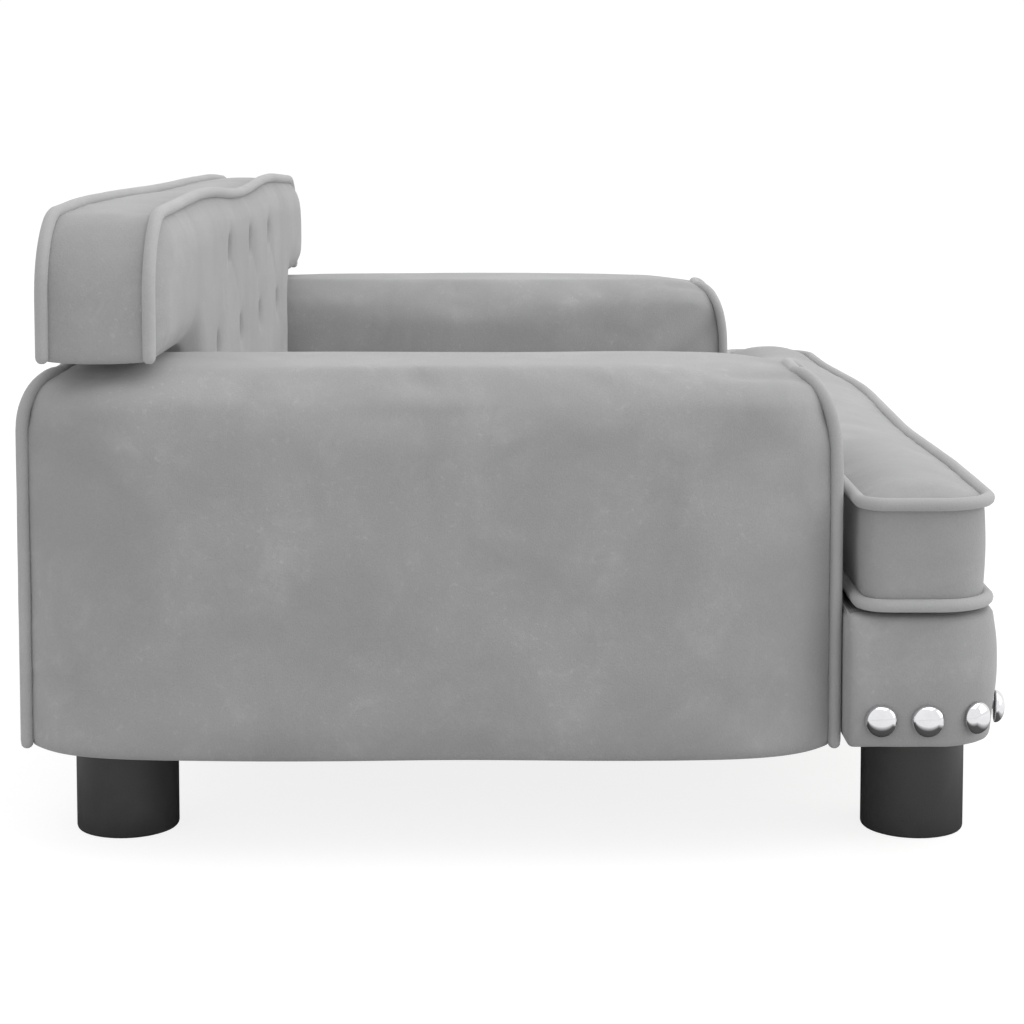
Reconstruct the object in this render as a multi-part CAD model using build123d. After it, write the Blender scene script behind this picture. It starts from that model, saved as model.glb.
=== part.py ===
from build123d import *
from math import acos, atan2, ceil, cos, hypot, pi, radians, sin, tan
import os

# Overall size of the dog sofa
overall_width = 700.0
overall_depth = 457.0
overall_height = 300.0

# Cloth, piping and the clearances between pieces
cloth_thickness = 1.2
cloth_gap = 0.3
piping_diameter = 6.0
piping_gap = 0.15
piping_sides = 6
piece_gap = 0.6
cut_overrun = 5.0
least_corner_radius = 1.0
corner_sagitta = 0.6

# Feet and what holds them
foot_diameter = 48.4
foot_height = 52.0
foot_side_inset = 38.0
foot_front_setback = 38.8
foot_rear_setback = 43.5
foot_edge_chamfer = 1.0
foot_hole_clearance = 0.4
stud_diameter = 8.0
stud_depth_in_foot = 24.0
stud_rise = 15.0
stud_clearance = 0.15
insert_bore_clearance = 0.5
fastener_sides = 8
insert_diameter = 12.0
insert_length = 10.0
insert_clearance = 0.1

# Bolts that hold the arms and the back to the seat base
bolt_length = 50.0
bolt_head_diameter = 18.0
bolt_head_thickness = 4.5
bolt_hole_clearance = 0.3
bolt_height = 77.0
arm_bolt_front_setback = 92.6
arm_bolt_rear_setback = 40.0
back_bolt_spread = 240.0

# Seat base: boards, plywood and the box behind the apron
apron_depth = 71.0
apron_height = 60.0
apron_side_setback = 10.0
apron_front_setback = 6.4
apron_corner_radius = 22.0
apron_rear_corner_radius = 4.0
apron_bulge = 3.0
apron_edge_rounding = 5.0
apron_padding_thickness = 5.0
rail_thickness = 15.0
board_corner_radius = 14.0
side_rail_thickness = 18.0
deck_thickness = 9.0
deck_cloth_thickness = 0.8
dust_cover_thickness = 0.6
block_thickness = 18.0
block_width = 58.0
brace_thickness = 18.0

# Nail heads along the apron
nail_diameter = 15.0
nail_rise = 4.6
nail_sides = 8
nail_pitch = 20.7
nail_first = 15.0
nail_height = 64.4

# Arms
arm_panel_width = 78.0
arm_outer_swell = 25.0
arm_inner_swell = 12.0
arm_bottom_height = 46.5
arm_swell_length = 56.0
arm_front_lean = 16.0
arm_rear_lean = 9.0
arm_lean_height = 50.0
arm_crown_rise = 3.6
arm_roll_radius = 22.0
arm_corner_radius = 6.0
arm_swell_radius = 130.0
arm_frame_inset_outer = 8.0
arm_frame_inset_inner = 10.0
arm_frame_inset_end = 14.0
arm_frame_top_gap = 24.0
arm_panel_thickness = 12.0
arm_post_thickness = 12.0
arm_rail_thickness = 18.0

# Back
back_side_setback = 5.0
back_rise_over_arms = 77.0
back_neck_gap = 1.6
back_wing_gap = 2.4
back_depth_between_pipings = 48.1
back_rear_setback = 13.7
back_front_crown = 8.0
back_rear_crown = 5.0
back_bottom_height = 52.4
back_shoulder_drop = 9.0
back_dip = 7.0
back_crest_place = 150.0
back_crest_radius = 1400.0
back_shoulder_radius = 15.0
back_corner_radius = 11.0
back_wing_corner_radius = 4.0
back_board_thickness = 18.0
back_panel_thickness = 5.0
back_foam_front = 17.5
back_rail_height = 38.0
back_post_width = 40.0
back_board_margin = 19.0

# Sewn tufts on the front of the back
tuft_mouth_diameter = 32.0
tuft_depth = 8.0
tuft_sides = 8
tuft_overrun = 1.0
tuft_pitch = 100.0
tuft_row_drops = (35.0, 83.0)
tuft_row_counts = (3, 4)
button_diameter = 12.0
button_thickness = 3.4

# Loose seat cushion
cushion_gap_below = 0.4
cushion_gap_arms = 2.4
cushion_gap_back = 1.0
cushion_gap_ears = 3.4
cushion_side_setback = 6.0
cushion_bottom_crown = 7.6
cushion_boxing_height = 44.0
cushion_top_crown = 8.0
cushion_centre_crown = 5.0
cushion_centre_reach = 30.0
cushion_centre_radius = 78.0
cushion_drawn_in = 2.2
cushion_front_radius = 26.0
cushion_ear_radius = 12.0
cushion_wave = 8.0
cushion_wave_radius = 900.0
cushion_wave_place_shares = (0.36, 0.16, -0.14, -0.32)
cushion_wave_height_shares = (0.0, 1.0, 0.0, 0.25)
zip_length = 300.0
zip_width = 24.0
zip_thickness = 1.0
slider_length = 14.0
slider_width = 9.0
slider_thickness = 2.2

# How a soft edge rolls in: shares of its reach and of its rise
crown_inset_shares = (0.42, 1.0)
crown_rise_shares = (0.72, 1.0)
arm_lean_height_shares = (0.0, 0.45, 1.0)
arm_lean_shares = (0.0, 0.2, 1.0)
crown_reach_share = 0.42
back_crest_lift_share = 0.27
corner_reach_share = 0.48
notch_skin_share = 0.4
arm_roll_angles = (0, 40, 65, 90)
nail_top_share = 0.52
button_top_share = 0.6
tuft_mouth_share = 0.4
apron_peak_share = 0.6

# Section of the apron near its two edges: rise and inset as shares of its rounding
apron_bottom_shares = ((0.0, 0.7), (0.4, 0.35), (1.6, 0.0))
apron_top_shares = ((1.6, 0.0), (0.0, 0.5))

# Places worked out from the sizes above
front_y = -overall_depth / 2
rear_y = overall_depth / 2
arm_top_height = overall_height - back_rise_over_arms
arm_length = overall_depth - apron_front_setback - apron_depth - piece_gap
apron_width = overall_width - 2 * apron_side_setback
back_width = overall_width - 2 * back_side_setback
cushion_width = overall_width - 2 * cushion_side_setback
tuft_rows = [overall_height - drop for drop in tuft_row_drops]
piping_radius = piping_diameter / 2
notch = (piping_radius + piping_gap) * 2 ** 0.5
deck_top = foot_height - cloth_thickness + apron_height
arm_outer_x = overall_width / 2
panel_outer_x = arm_outer_x - arm_outer_swell
panel_inner_x = panel_outer_x - arm_panel_width
arm_inner_x = panel_inner_x - arm_inner_swell
arm_edge_height = arm_top_height - arm_crown_rise
piping_seat = piping_radius + piping_gap
arm_rear_y = rear_y - piping_radius - piping_seat
arm_front_y = rear_y - arm_length + piping_radius + piping_seat
arm_piping_front_y = rear_y - arm_length
apron_rear_y = arm_piping_front_y - piece_gap
apron_front_y = apron_rear_y - apron_depth
box_rear_y = apron_rear_y - cloth_thickness - cloth_gap
box_front_y = apron_front_y + cloth_thickness + cloth_gap + apron_padding_thickness
box_half_width = apron_width / 2 - cloth_thickness - cloth_gap - apron_padding_thickness
base_half_width = arm_inner_x - piece_gap
frame_bottom = foot_height
deck_bottom = deck_top - deck_thickness
back_rear_piping_y = rear_y - back_rear_setback - piping_radius
back_front_piping_y = back_rear_piping_y - back_depth_between_pipings
back_face_y = back_front_piping_y - back_front_crown
base_rear_y = back_face_y - piece_gap
arm_bolt_places = (box_rear_y + arm_bolt_front_setback, base_rear_y - rail_thickness - arm_bolt_rear_setback)
foot_x = panel_outer_x - foot_side_inset
foot_front_y = front_y + foot_front_setback
foot_rear_y = rear_y - foot_rear_setback


# Outlines of soft pieces: corners, their radii, and the same outline moved inwards
def moved_inwards(corners, distance):
    count = len(corners)
    lines = []
    for i in range(count):
        x0, y0 = corners[i]
        x1, y1 = corners[(i + 1) % count]
        length = hypot(x1 - x0, y1 - y0)
        nx, ny = (y0 - y1) / length, (x1 - x0) / length
        lines.append((nx, ny, nx * x0 + ny * y0 + distance))
    moved = []
    for i in range(count):
        a0, b0, c0 = lines[i - 1]
        a1, b1, c1 = lines[i]
        scale = a0 * b1 - a1 * b0
        moved.append(((c0 * b1 - c1 * b0) / scale, (a0 * c1 - a1 * c0) / scale))
    return moved


def moved_radii(corners, radii, distance):
    moved = []
    for i, radius in enumerate(radii):
        change = -distance if turn_at(corners, i) > 0 else distance
        moved.append(max(radius + change, least_corner_radius))
    return moved


def turn_at(corners, i):
    """Signed turn of an outline at one corner, positive where it bulges out."""
    (x0, y0), (x1, y1), (x2, y2) = corners[i - 1], corners[i], corners[(i + 1) % len(corners)]
    turn = atan2(y2 - y1, x2 - x1) - atan2(y1 - y0, x1 - x0)
    return (turn + pi) % (2 * pi) - pi


def steps_for(turn, radius):
    """How many straight steps turn a corner closely enough."""
    return max(1, ceil(abs(turn) / (2 * acos(1 - min(1, corner_sagitta / radius)))))


def corner_steps(corners, radii, plain=False):
    """Steps at each corner. A plain outline cuts its outward corners and keeps its inward ones sharp."""
    if plain:
        return [1 if turn_at(corners, i) > 0 else 0 for i in range(len(corners))]
    return [steps_for(turn_at(corners, i), radius) for i, radius in enumerate(radii)]


def turned_corner(before, corner, after, radius, steps=None):
    """Points that take a line round one corner. The corner never takes more than its share of a run."""
    back, on = before - corner, after - corner
    longest = corner_reach_share * min(back.length, on.length)
    back, on = back.normalized(), on.normalized()
    half = acos(max(-1, min(1, back.dot(on)))) / 2
    reach = min(radius / tan(half), longest)
    radius = reach * tan(half)
    centre = corner + (back + on).normalized() * (radius / sin(half))
    out = corner + back * reach - centre
    ahead = back * -radius
    turn = pi - 2 * half
    parts = steps or steps_for(turn, radius)
    return [centre + out * cos(turn * i / parts) + ahead * sin(turn * i / parts) for i in range(parts + 1)]


def stepped_outline(plane, corners, radii, steps):
    """Points round an outline on a plane, its corners turned in straight steps."""
    places = [Vector(x, y, 0) for x, y in corners]
    points = []
    for i, place in enumerate(places):
        if steps[i]:
            points += turned_corner(places[i - 1], place, places[(i + 1) % len(places)], radii[i], steps[i])
        else:
            points.append(place)
    return [plane.from_local_coords(point) for point in points]


def ring(plane, corners, radii, steps, inset):
    return stepped_outline(plane, moved_inwards(corners, inset), moved_radii(corners, radii, inset), steps)


def skinned(rings, closed=False):
    """A solid with flat faces between neighbouring rings. Its two ends get a flat cap, unless they meet."""
    faces = [] if closed else [Face(Wire.make_polygon(rings[0])), Face(Wire.make_polygon(rings[-1]))]
    for near, far in zip(rings, rings[1:] + rings[:1] if closed else rings[1:]):
        for i in range(len(near)):
            j = (i + 1) % len(near)
            faces.append(Face(Wire.make_polygon([near[i], near[j], far[j], far[i]])))
    return Solid(Shell(faces))


def stacked(base_plane, corners, radii, levels, plain=False):
    """One closed form through the outline at each height, moved in by its inset."""
    steps = corner_steps(corners, radii, plain)
    return skinned([ring(base_plane.offset(height), corners, radii, steps, inset) for height, inset in levels])


def crown_levels(edge_height, edge_inset, reach, rise):
    levels = []
    for inset_share, rise_share in zip(crown_inset_shares, crown_rise_shares):
        levels.append((edge_height + rise * rise_share, edge_inset + (reach - edge_inset) * inset_share))
    return levels


def piping_tube(points, side, closed):
    """Many-sided piping along straight runs, mitred where they meet, with one edge on the given side."""
    runs = [(points[(i + 1) % len(points)] - place).normalized() for i, place in enumerate(points)]
    other = runs[0].cross(side)
    rim = []
    for i in range(piping_sides):
        angle = 2 * pi * i / piping_sides
        rim.append(points[0] + side * (piping_radius * cos(angle)) + other * (piping_radius * sin(angle)))
    rings = []
    last = len(points) - 1
    for i, place in enumerate(points):
        before = runs[i - 1] if closed or i > 0 else runs[0]
        ahead = runs[i] if closed or i < last else runs[last - 1]
        facing = (before + ahead).normalized()
        along = before if i > 0 else ahead
        rim = [corner + along * ((place - corner).dot(facing) / along.dot(facing)) for corner in rim]
        rings.append(rim)
    return skinned(rings, closed)


def outline_piping(plane, corners, radii):
    """Piping all the way round an outline."""
    points = ring(plane, corners, radii, corner_steps(corners, radii), 0)
    return piping_tube(points, (points[1] - points[0]).cross(plane.z_dir).normalized(), True)


def box_between(low, high):
    size = [high[i] - low[i] for i in range(3)]
    centre = [(high[i] + low[i]) / 2 for i in range(3)]
    return Pos(*centre) * Box(*size)


def upright_cylinder(x, y, low, high, diameter):
    return Pos(x, y, (low + high) / 2) * Cylinder(diameter / 2, high - low)


def mirrored(piece):
    return mirror(piece, about=Plane.YZ)


def write(name, piece):
    solids = piece.solids() if not isinstance(piece, list) else [s for p in piece for s in p.solids()]
    shape = solids[0] if len(solids) == 1 else Compound(children=solids)
    export_step(shape, f"parts/{name}.step")


# Places of bolts and feet, used by every piece that they pass through
def foot_places():
    places = {}
    for end, y in (("front", foot_front_y), ("rear", foot_rear_y)):
        places[f"foot_{end}_left"] = (-foot_x, y)
        places[f"foot_{end}_right"] = (foot_x, y)
    return places


def bolt_starts():
    """Face that each bolt head sits on, and the way its shank points."""
    rail_inside = base_half_width - side_rail_thickness
    starts = []
    for y in arm_bolt_places:
        starts.append(((rail_inside, y, bolt_height), (1, 0, 0)))
        starts.append(((-rail_inside, y, bolt_height), (-1, 0, 0)))
    for side in (-1, 1):
        place = (side * back_bolt_spread / 2, base_rear_y - rail_thickness, bolt_height)
        starts.append((place, (0, 1, 0)))
    return starts


def bolt_holes():
    diameter = stud_diameter + 2 * bolt_hole_clearance
    holes = []
    for start, direction in bolt_starts():
        hole_start = Vector(*start) - Vector(*direction) * cut_overrun
        holes.append(prism(hole_start, direction, bolt_length + 2 * cut_overrun, diameter))
    return holes


def insert_starts():
    """Mouth of each insert nut, and the way it goes into the wood."""
    starts = [((x, y, frame_bottom), (0, 0, 1)) for x, y in foot_places().values()]
    for y in arm_bolt_places:
        starts.append(((arm_frame_inner_x(), y, bolt_height), (1, 0, 0)))
        starts.append(((-arm_frame_inner_x(), y, bolt_height), (-1, 0, 0)))
    for side in (-1, 1):
        starts.append(((side * back_bolt_spread / 2, back_board_front_y(), bolt_height), (0, 1, 0)))
    return starts


def insert_holes():
    diameter = insert_diameter + 2 * insert_clearance
    holes = []
    for start, direction in insert_starts():
        hole_start = Vector(*start) - Vector(*direction) * insert_clearance
        holes.append(prism(hole_start, direction, insert_length + insert_clearance, diameter))
    return holes


def stud_holes():
    diameter = stud_diameter + 2 * bolt_hole_clearance
    rise = stud_rise + piece_gap
    return [prism((x, y, frame_bottom), (0, 0, 1), rise, diameter) for x, y in foot_places().values()]


def foot_holes():
    diameter = foot_diameter + 2 * foot_hole_clearance
    return [upright_cylinder(x, y, 0, frame_bottom, diameter) for x, y in foot_places().values()]


def drilled(piece, holes):
    """Take away only the holes whose boxes meet the piece."""
    box = piece.bounding_box()
    for hole in holes:
        other = hole.bounding_box()
        apart = (
            other.min.X > box.max.X
            or other.max.X < box.min.X
            or other.min.Y > box.max.Y
            or other.max.Y < box.min.Y
            or other.min.Z > box.max.Z
            or other.max.Z < box.min.Z
        )
        if not apart:
            piece = piece - hole
    return piece


# Arms
def arm_frame_inner_x():
    return panel_inner_x + arm_frame_inset_inner


def arm_frame_outer_x():
    return panel_outer_x - arm_frame_inset_outer


def arm_plan(front_y_here, rear_y_here, side_inset):
    """Plan of the right arm at one height: flat ends, sides swollen between them."""
    outer = panel_outer_x - side_inset
    inner = panel_inner_x + side_inset
    swell_front = front_y_here + arm_swell_length
    swell_rear = rear_y_here - arm_swell_length
    return [
        (inner, front_y_here),
        (outer, front_y_here),
        (outer + arm_outer_swell, swell_front),
        (outer + arm_outer_swell, swell_rear),
        (outer, rear_y_here),
        (inner, rear_y_here),
        (inner - arm_inner_swell, swell_rear),
        (inner - arm_inner_swell, swell_front),
    ]


def arm_lean_share(height):
    """How far the ends lean back at one height, as a share of their lean at the top edge."""
    place = (height - arm_edge_height + arm_lean_height) / arm_lean_height
    for i in (1, 2):
        low, high = arm_lean_height_shares[i - 1 : i + 1]
        if place <= high:
            part = max(0, place - low) / (high - low)
            return arm_lean_shares[i - 1] + part * (arm_lean_shares[i] - arm_lean_shares[i - 1])
    return arm_lean_shares[-1]


def arm_levels():
    """Height, lean of each end and inset of the sides, from the bottom to the crown."""
    roll_base = arm_edge_height - arm_roll_radius
    places = [(arm_bottom_height, arm_corner_radius), (arm_bottom_height + arm_corner_radius, 0)]
    for share in arm_lean_height_shares[:2]:
        places.append((arm_edge_height - arm_lean_height * (1 - share), 0))
    for angle in arm_roll_angles:
        rise = arm_roll_radius * sin(radians(angle))
        places.append((roll_base + rise, arm_roll_radius * (1 - cos(radians(angle)))))
    levels = []
    for height, side in sorted(places):
        share = arm_lean_share(height)
        levels.append((height, arm_front_lean * share, arm_rear_lean * share, side))
    edge = levels[-1]
    levels.append((arm_top_height, edge[1] + arm_swell_length, edge[2] + arm_swell_length, edge[3]))
    return levels


def arm_form(skin):
    rings = []
    radii = [arm_corner_radius] * 2 + [arm_swell_radius] * 2 + [arm_corner_radius] * 2 + [arm_swell_radius] * 2
    levels = arm_levels()
    last = len(levels) - 1
    steps = corner_steps(arm_plan(arm_front_y, arm_rear_y, 0), radii, skin > 0)
    for i, (height, front_lean, rear_lean, side) in enumerate(levels):
        shift = skin if i == 0 else -skin if i == last else 0
        corners = arm_plan(arm_front_y + front_lean, arm_rear_y - rear_lean, side)
        rings.append(ring(Plane.XY.offset(height + shift), corners, radii, steps, skin))
    return skinned(rings)


def arm_frame_box():
    low = (arm_frame_inner_x(), arm_front_y + arm_frame_inset_end, frame_bottom)
    high = (arm_frame_outer_x(), arm_rear_y - arm_frame_inset_end, arm_top_height - arm_frame_top_gap)
    return low, high


def arm_frame_pieces():
    (x0, y0, z0), (x1, y1, z1) = arm_frame_box()
    inside0 = x0 + arm_panel_thickness
    inside1 = x1 - arm_panel_thickness
    post = arm_post_thickness
    rail = arm_rail_thickness
    return {
        "inner_panel": box_between((x0, y0, z0), (inside0, y1, z1)),
        "outer_panel": box_between((inside1, y0, z0), (x1, y1, z1)),
        "front_post": box_between((inside0, y0, z0 + rail), (inside1, y0 + post, z1 - rail)),
        "rear_post": box_between((inside0, y1 - post, z0 + rail), (inside1, y1, z1 - rail)),
        "bottom_rail": box_between((inside0, y0, z0), (inside1, y1, z0 + rail)),
        "top_rail": box_between((inside0, y0, z1 - rail), (inside1, y1, z1)),
    }


def arm_piping(at_front):
    """Piping round one end of the arm, up one side, over the top and down the other."""
    lean_full = arm_front_lean if at_front else arm_rear_lean
    profile = [(0, arm_bottom_height)]
    for height_share, lean_share in zip(arm_lean_height_shares, arm_lean_shares):
        profile.append((lean_full * lean_share, arm_edge_height - arm_lean_height * (1 - height_share)))
    behind = (arm_length, arm_edge_height), (arm_length, arm_bottom_height)
    seated = moved_inwards((profile + list(behind))[::-1], -piping_seat)[::-1][: len(profile)]
    below, top = Vector(*seated[-2]), Vector(*seated[-1])
    crossing = top + (below - top).normalized() * (piping_radius + piping_seat)
    seated = [(seated[0][0], arm_bottom_height)] + seated[1:-1] + [(crossing.X, crossing.Y)]
    wall = arm_front_y if at_front else arm_rear_y
    inwards = 1 if at_front else -1
    outer_x = panel_outer_x - piping_radius
    inner_x = panel_inner_x + piping_radius
    places = [(outer_x, wall + inwards * lean, height) for lean, height in seated]
    places += [(inner_x, wall + inwards * lean, height) for lean, height in reversed(seated)]
    places = [Vector(*place) for place in places]
    side_count = len(seated)
    points = places[: side_count - 1]
    for i in (side_count - 1, side_count):
        points += turned_corner(*places[i - 1 : i + 2], arm_roll_radius - piping_radius)
    return piping_tube(points + places[side_count + 1 :], Vector(0, 1, 0), False)


def build_arms():
    frame_pieces = arm_frame_pieces()
    low, high = arm_frame_box()
    holes = bolt_holes() + insert_holes() + stud_holes()
    openings = bolt_holes() + foot_holes()
    foam_low = (low[0], low[1], arm_bottom_height)
    foam = arm_form(cloth_thickness + cloth_gap) - box_between(foam_low, high)
    cover = arm_form(0) - arm_form(cloth_thickness)
    right = {name: drilled(piece, holes) for name, piece in frame_pieces.items()}
    right["foam"] = drilled(foam, openings)
    right["cover"] = drilled(cover, openings)
    right["piping_front"] = arm_piping(True)
    right["piping_rear"] = arm_piping(False)
    for name, piece in right.items():
        write(f"arm_right_{name}", piece)
        write(f"arm_left_{name}", mirrored(piece))


# Back
def back_corners():
    """Outline of the T-shaped back, seen from behind, at the middle of its piping."""
    half = back_width / 2 - piping_radius
    neck = arm_inner_x - back_neck_gap - piping_radius
    bottom = back_bottom_height + piping_radius
    wing = arm_top_height + back_wing_gap + piping_radius
    top = overall_height - piping_radius
    crest = top + back_dip * back_crest_lift_share
    return [
        (-neck, bottom),
        (neck, bottom),
        (neck, wing),
        (half, wing),
        (half, top - back_shoulder_drop),
        (back_crest_place, crest),
        (0, crest - back_dip),
        (-back_crest_place, crest),
        (-half, top - back_shoulder_drop),
        (-half, wing),
        (-neck, wing),
    ]


def back_radii():
    corner = back_corner_radius
    wing = back_wing_corner_radius
    crest = back_crest_radius
    shoulder = back_shoulder_radius
    return [corner, corner, corner, wing, shoulder, crest, crest, crest, shoulder, wing, corner]


def back_piping(plane):
    """Piping up one end of the back, over its crest and down the other end."""
    corners = back_corners()[3:10]
    radii = back_radii()[4:9]
    low = corners[0][1] - piping_radius
    corners = [(corners[0][0], low)] + corners[1:-1] + [(corners[-1][0], low)]
    places = [plane.from_local_coords(Vector(x, y, 0)) for x, y in corners]
    points = places[:1]
    for i, radius in enumerate(radii):
        points += turned_corner(*places[i : i + 3], radius)
    side = (places[1] - places[0]).cross(plane.z_dir).normalized()
    return piping_tube(points + places[-1:], side, False)


def back_plane():
    """Local x is the part's X, local y is up, and offsets go towards the front."""
    return Plane(origin=(0, 0, 0), x_dir=(1, 0, 0), z_dir=(0, -1, 0))


def crown_reach():
    """How far in the crowns of the back roll, limited by the height of its wings."""
    wing_height = overall_height - back_shoulder_drop - arm_top_height - 2 * piping_diameter
    return wing_height * crown_reach_share


def back_form(skin):
    edge = notch + skin * notch_skin_share
    rear = -back_rear_piping_y + skin
    front = -back_front_piping_y - skin
    rear_crown = crown_levels(0, edge, crown_reach() + skin, back_rear_crown)[-1:]
    front_crown = crown_levels(0, edge, crown_reach() + skin, back_front_crown)
    levels = [(rear - rise, inset) for rise, inset in reversed(rear_crown)]
    levels += [(rear, edge), (rear - skin + notch, skin), (front + skin - notch, skin), (front, edge)]
    levels += [(front + rise, inset) for rise, inset in front_crown]
    form = stacked(back_plane(), back_corners(), back_radii(), levels, skin > 0)
    for x, z in tuft_places():
        form = form - tuft(x, z, skin)
    return form


def tuft(x, z, skin):
    """The hollow that one sewn button draws into the front of the back."""
    mouth = Plane(origin=(x, back_face_y - tuft_overrun, z), z_dir=(0, 1, 0))
    depth = tuft_depth + tuft_overrun + skin
    radius = (tuft_mouth_diameter / 2) * depth / tuft_depth
    return plug(mouth, radius, tuft_mouth_share, depth, tuft_sides)


def plug(plane, radius, end_share, length, sides):
    """A short many-sided piece whose far end is smaller by a share."""
    rings = []
    for size, height in ((radius, 0), (radius * end_share, length)):
        angles = [2 * pi * i / sides for i in range(sides)]
        rings.append([plane.from_local_coords(Vector(size * cos(a), size * sin(a), height)) for a in angles])
    return skinned(rings)


def tuft_places():
    places = []
    for height, count in zip(tuft_rows, tuft_row_counts):
        for i in range(count):
            places.append(((i - (count - 1) / 2) * tuft_pitch, height))
    return places


def tuft_buttons():
    """A covered button at the bottom of each hollow."""
    buttons = []
    for x, z in tuft_places():
        seat = Plane(origin=(x, back_face_y + tuft_depth - cloth_gap, z), z_dir=(0, -1, 0))
        buttons.append(plug(seat, button_diameter / 2, button_top_share, button_thickness, tuft_sides))
    return buttons


def back_board_front_y():
    return back_face_y + back_foam_front + back_panel_thickness


def back_frame_pieces():
    y0 = back_board_front_y()
    y1 = y0 + back_board_thickness
    panel_y = y0 - back_panel_thickness
    corners = back_corners()
    neck = corners[1][0] - back_board_margin + piping_radius
    half = corners[3][0] - back_board_margin
    bottom = corners[0][1] + back_board_margin / 2
    wing = corners[2][1] + back_board_margin / 2
    top = wing + back_rail_height
    post = neck - back_post_width
    panel = box_between((-neck, panel_y, bottom), (neck, y0, wing))
    panel = panel + box_between((-half, panel_y, wing), (half, y0, top))
    return {
        "back_panel": panel,
        "back_bottom_rail": box_between((-neck, y0, bottom), (neck, y1, bottom + back_rail_height)),
        "back_post_right": box_between((post, y0, bottom + back_rail_height), (neck, y1, wing)),
        "back_post_left": box_between((-neck, y0, bottom + back_rail_height), (-post, y1, wing)),
        "back_top_rail": box_between((-half, y0, wing), (half, y1, top)),
    }, [
        box_between((-neck, panel_y, bottom), (neck, y1, wing + cut_overrun)),
        box_between((-half, panel_y, wing), (half, y1, top)),
    ]


def build_back():
    pieces, cavity = back_frame_pieces()
    holes = bolt_holes() + insert_holes()
    for name, piece in pieces.items():
        write(name, drilled(piece, holes))
    foam = back_form(cloth_thickness + cloth_gap)
    for space in cavity:
        foam = foam - space
    write("back_foam", drilled(foam, bolt_holes()))
    write("back_cover", drilled(back_form(0) - back_form(cloth_thickness), bolt_holes()))
    for name, y in (("back_piping_front", back_front_piping_y), ("back_piping_rear", back_rear_piping_y)):
        write(name, back_piping(back_plane().offset(-y)))
    write("tuft_buttons", tuft_buttons())


# Seat base
def apron_corners():
    half = apron_width / 2
    return [(-half, apron_front_y), (half, apron_front_y), (half, apron_rear_y), (-half, apron_rear_y)]


def apron_radii():
    return [apron_corner_radius] * 2 + [apron_rear_corner_radius] * 2


def apron_form(skin, low, high):
    roll = apron_edge_rounding
    levels = [(low + roll * rise, roll * inset + skin) for rise, inset in apron_bottom_shares]
    levels.append((low + (high - low) * apron_peak_share, skin - apron_bulge))
    levels += [(high - roll * drop, roll * inset + skin) for drop, inset in apron_top_shares]
    corners = apron_corners()
    steps = corner_steps(corners, apron_radii())
    rear = apron_rear_y - skin
    rings = []
    for height, inset in levels:
        place = moved_inwards(corners, inset)
        place = [place[0], place[1], (place[2][0], rear), (place[3][0], rear)]
        radii = moved_radii(corners, apron_radii(), inset)
        rings.append(stepped_outline(Plane.XY.offset(height), place, radii, steps))
    return skinned(rings)


def with_round_front(board):
    """Round the two upright front corners, so that the cover can turn round them."""
    return fillet(board.edges().filter_by(Axis.Z).group_by(Axis.Y)[0], board_corner_radius)


def base_boards():
    """Boards of the seat base, all seated on the feet or on each other."""
    low = frame_bottom
    high = deck_bottom
    box_inside_front = box_front_y + rail_thickness
    box_inside_rear = box_rear_y - rail_thickness
    half = box_half_width
    inside = half - rail_thickness
    block_low = inside - block_width
    side_inside = base_half_width - side_rail_thickness
    rear_inside = base_rear_y - rail_thickness
    brace = brace_thickness / 2
    boards = {
        "front_rail": with_round_front(box_between((-half, box_front_y, low), (half, box_inside_front, high))),
        "front_box_rear_rail": box_between((-half, box_inside_rear, low), (half, box_rear_y, high)),
        "side_rail_right": box_between((side_inside, box_rear_y, low), (base_half_width, base_rear_y, high)),
        "rear_rail": box_between((-side_inside, rear_inside, low), (side_inside, base_rear_y, high)),
        "centre_brace": box_between((-brace, box_rear_y, low + block_thickness), (brace, rear_inside, high)),
        "box_end_right": box_between((inside, box_inside_front, low), (half, box_inside_rear, high)),
        "foot_block_right": box_between(
            (block_low, box_inside_front, low), (inside, box_inside_rear, low + block_thickness)
        ),
    }
    for name in ("side_rail", "box_end", "foot_block"):
        boards[f"{name}_left"] = mirrored(boards[f"{name}_right"])
    return boards


def seat_deck():
    wide = box_between((-box_half_width, box_front_y, deck_bottom), (box_half_width, box_rear_y, deck_top))
    wide = with_round_front(wide)
    narrow = box_between((-base_half_width, box_rear_y, deck_bottom), (base_half_width, base_rear_y, deck_top))
    return wide + narrow


def deck_cloth():
    top = deck_top + deck_cloth_thickness
    wide = box_between((-box_half_width, box_front_y, deck_top), (box_half_width, box_rear_y, top))
    wide = with_round_front(wide)
    narrow = box_between((-base_half_width, box_rear_y, deck_top), (base_half_width, base_rear_y, top))
    return wide + narrow


def nail_head(place, outward):
    seat = Plane(origin=place + outward * cloth_gap, z_dir=outward)
    return plug(seat, nail_diameter / 2, nail_top_share, nail_rise, nail_sides)


def nail_heads():
    """Heads at an even pitch round the three open sides of the apron."""
    half = apron_width / 2
    places = [
        (-half, apron_rear_y, nail_height),
        (-half, apron_front_y, nail_height),
        (half, apron_front_y, nail_height),
        (half, apron_rear_y, nail_height),
    ]
    line = FilletPolyline(*places, radius=apron_corner_radius)
    length = sum(edge.length for edge in line.edges())
    count = int((length - 2 * nail_first) / nail_pitch) + 1
    start = (length - (count - 1) * nail_pitch) / 2
    heads = []
    for i in range(count):
        share = (start + i * nail_pitch) / length
        place = line @ share
        along = line % share
        outward = Vector(along.Y, -along.X, 0)
        heads.append(nail_head(place + outward * nail_swell(), outward))
    return heads


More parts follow.
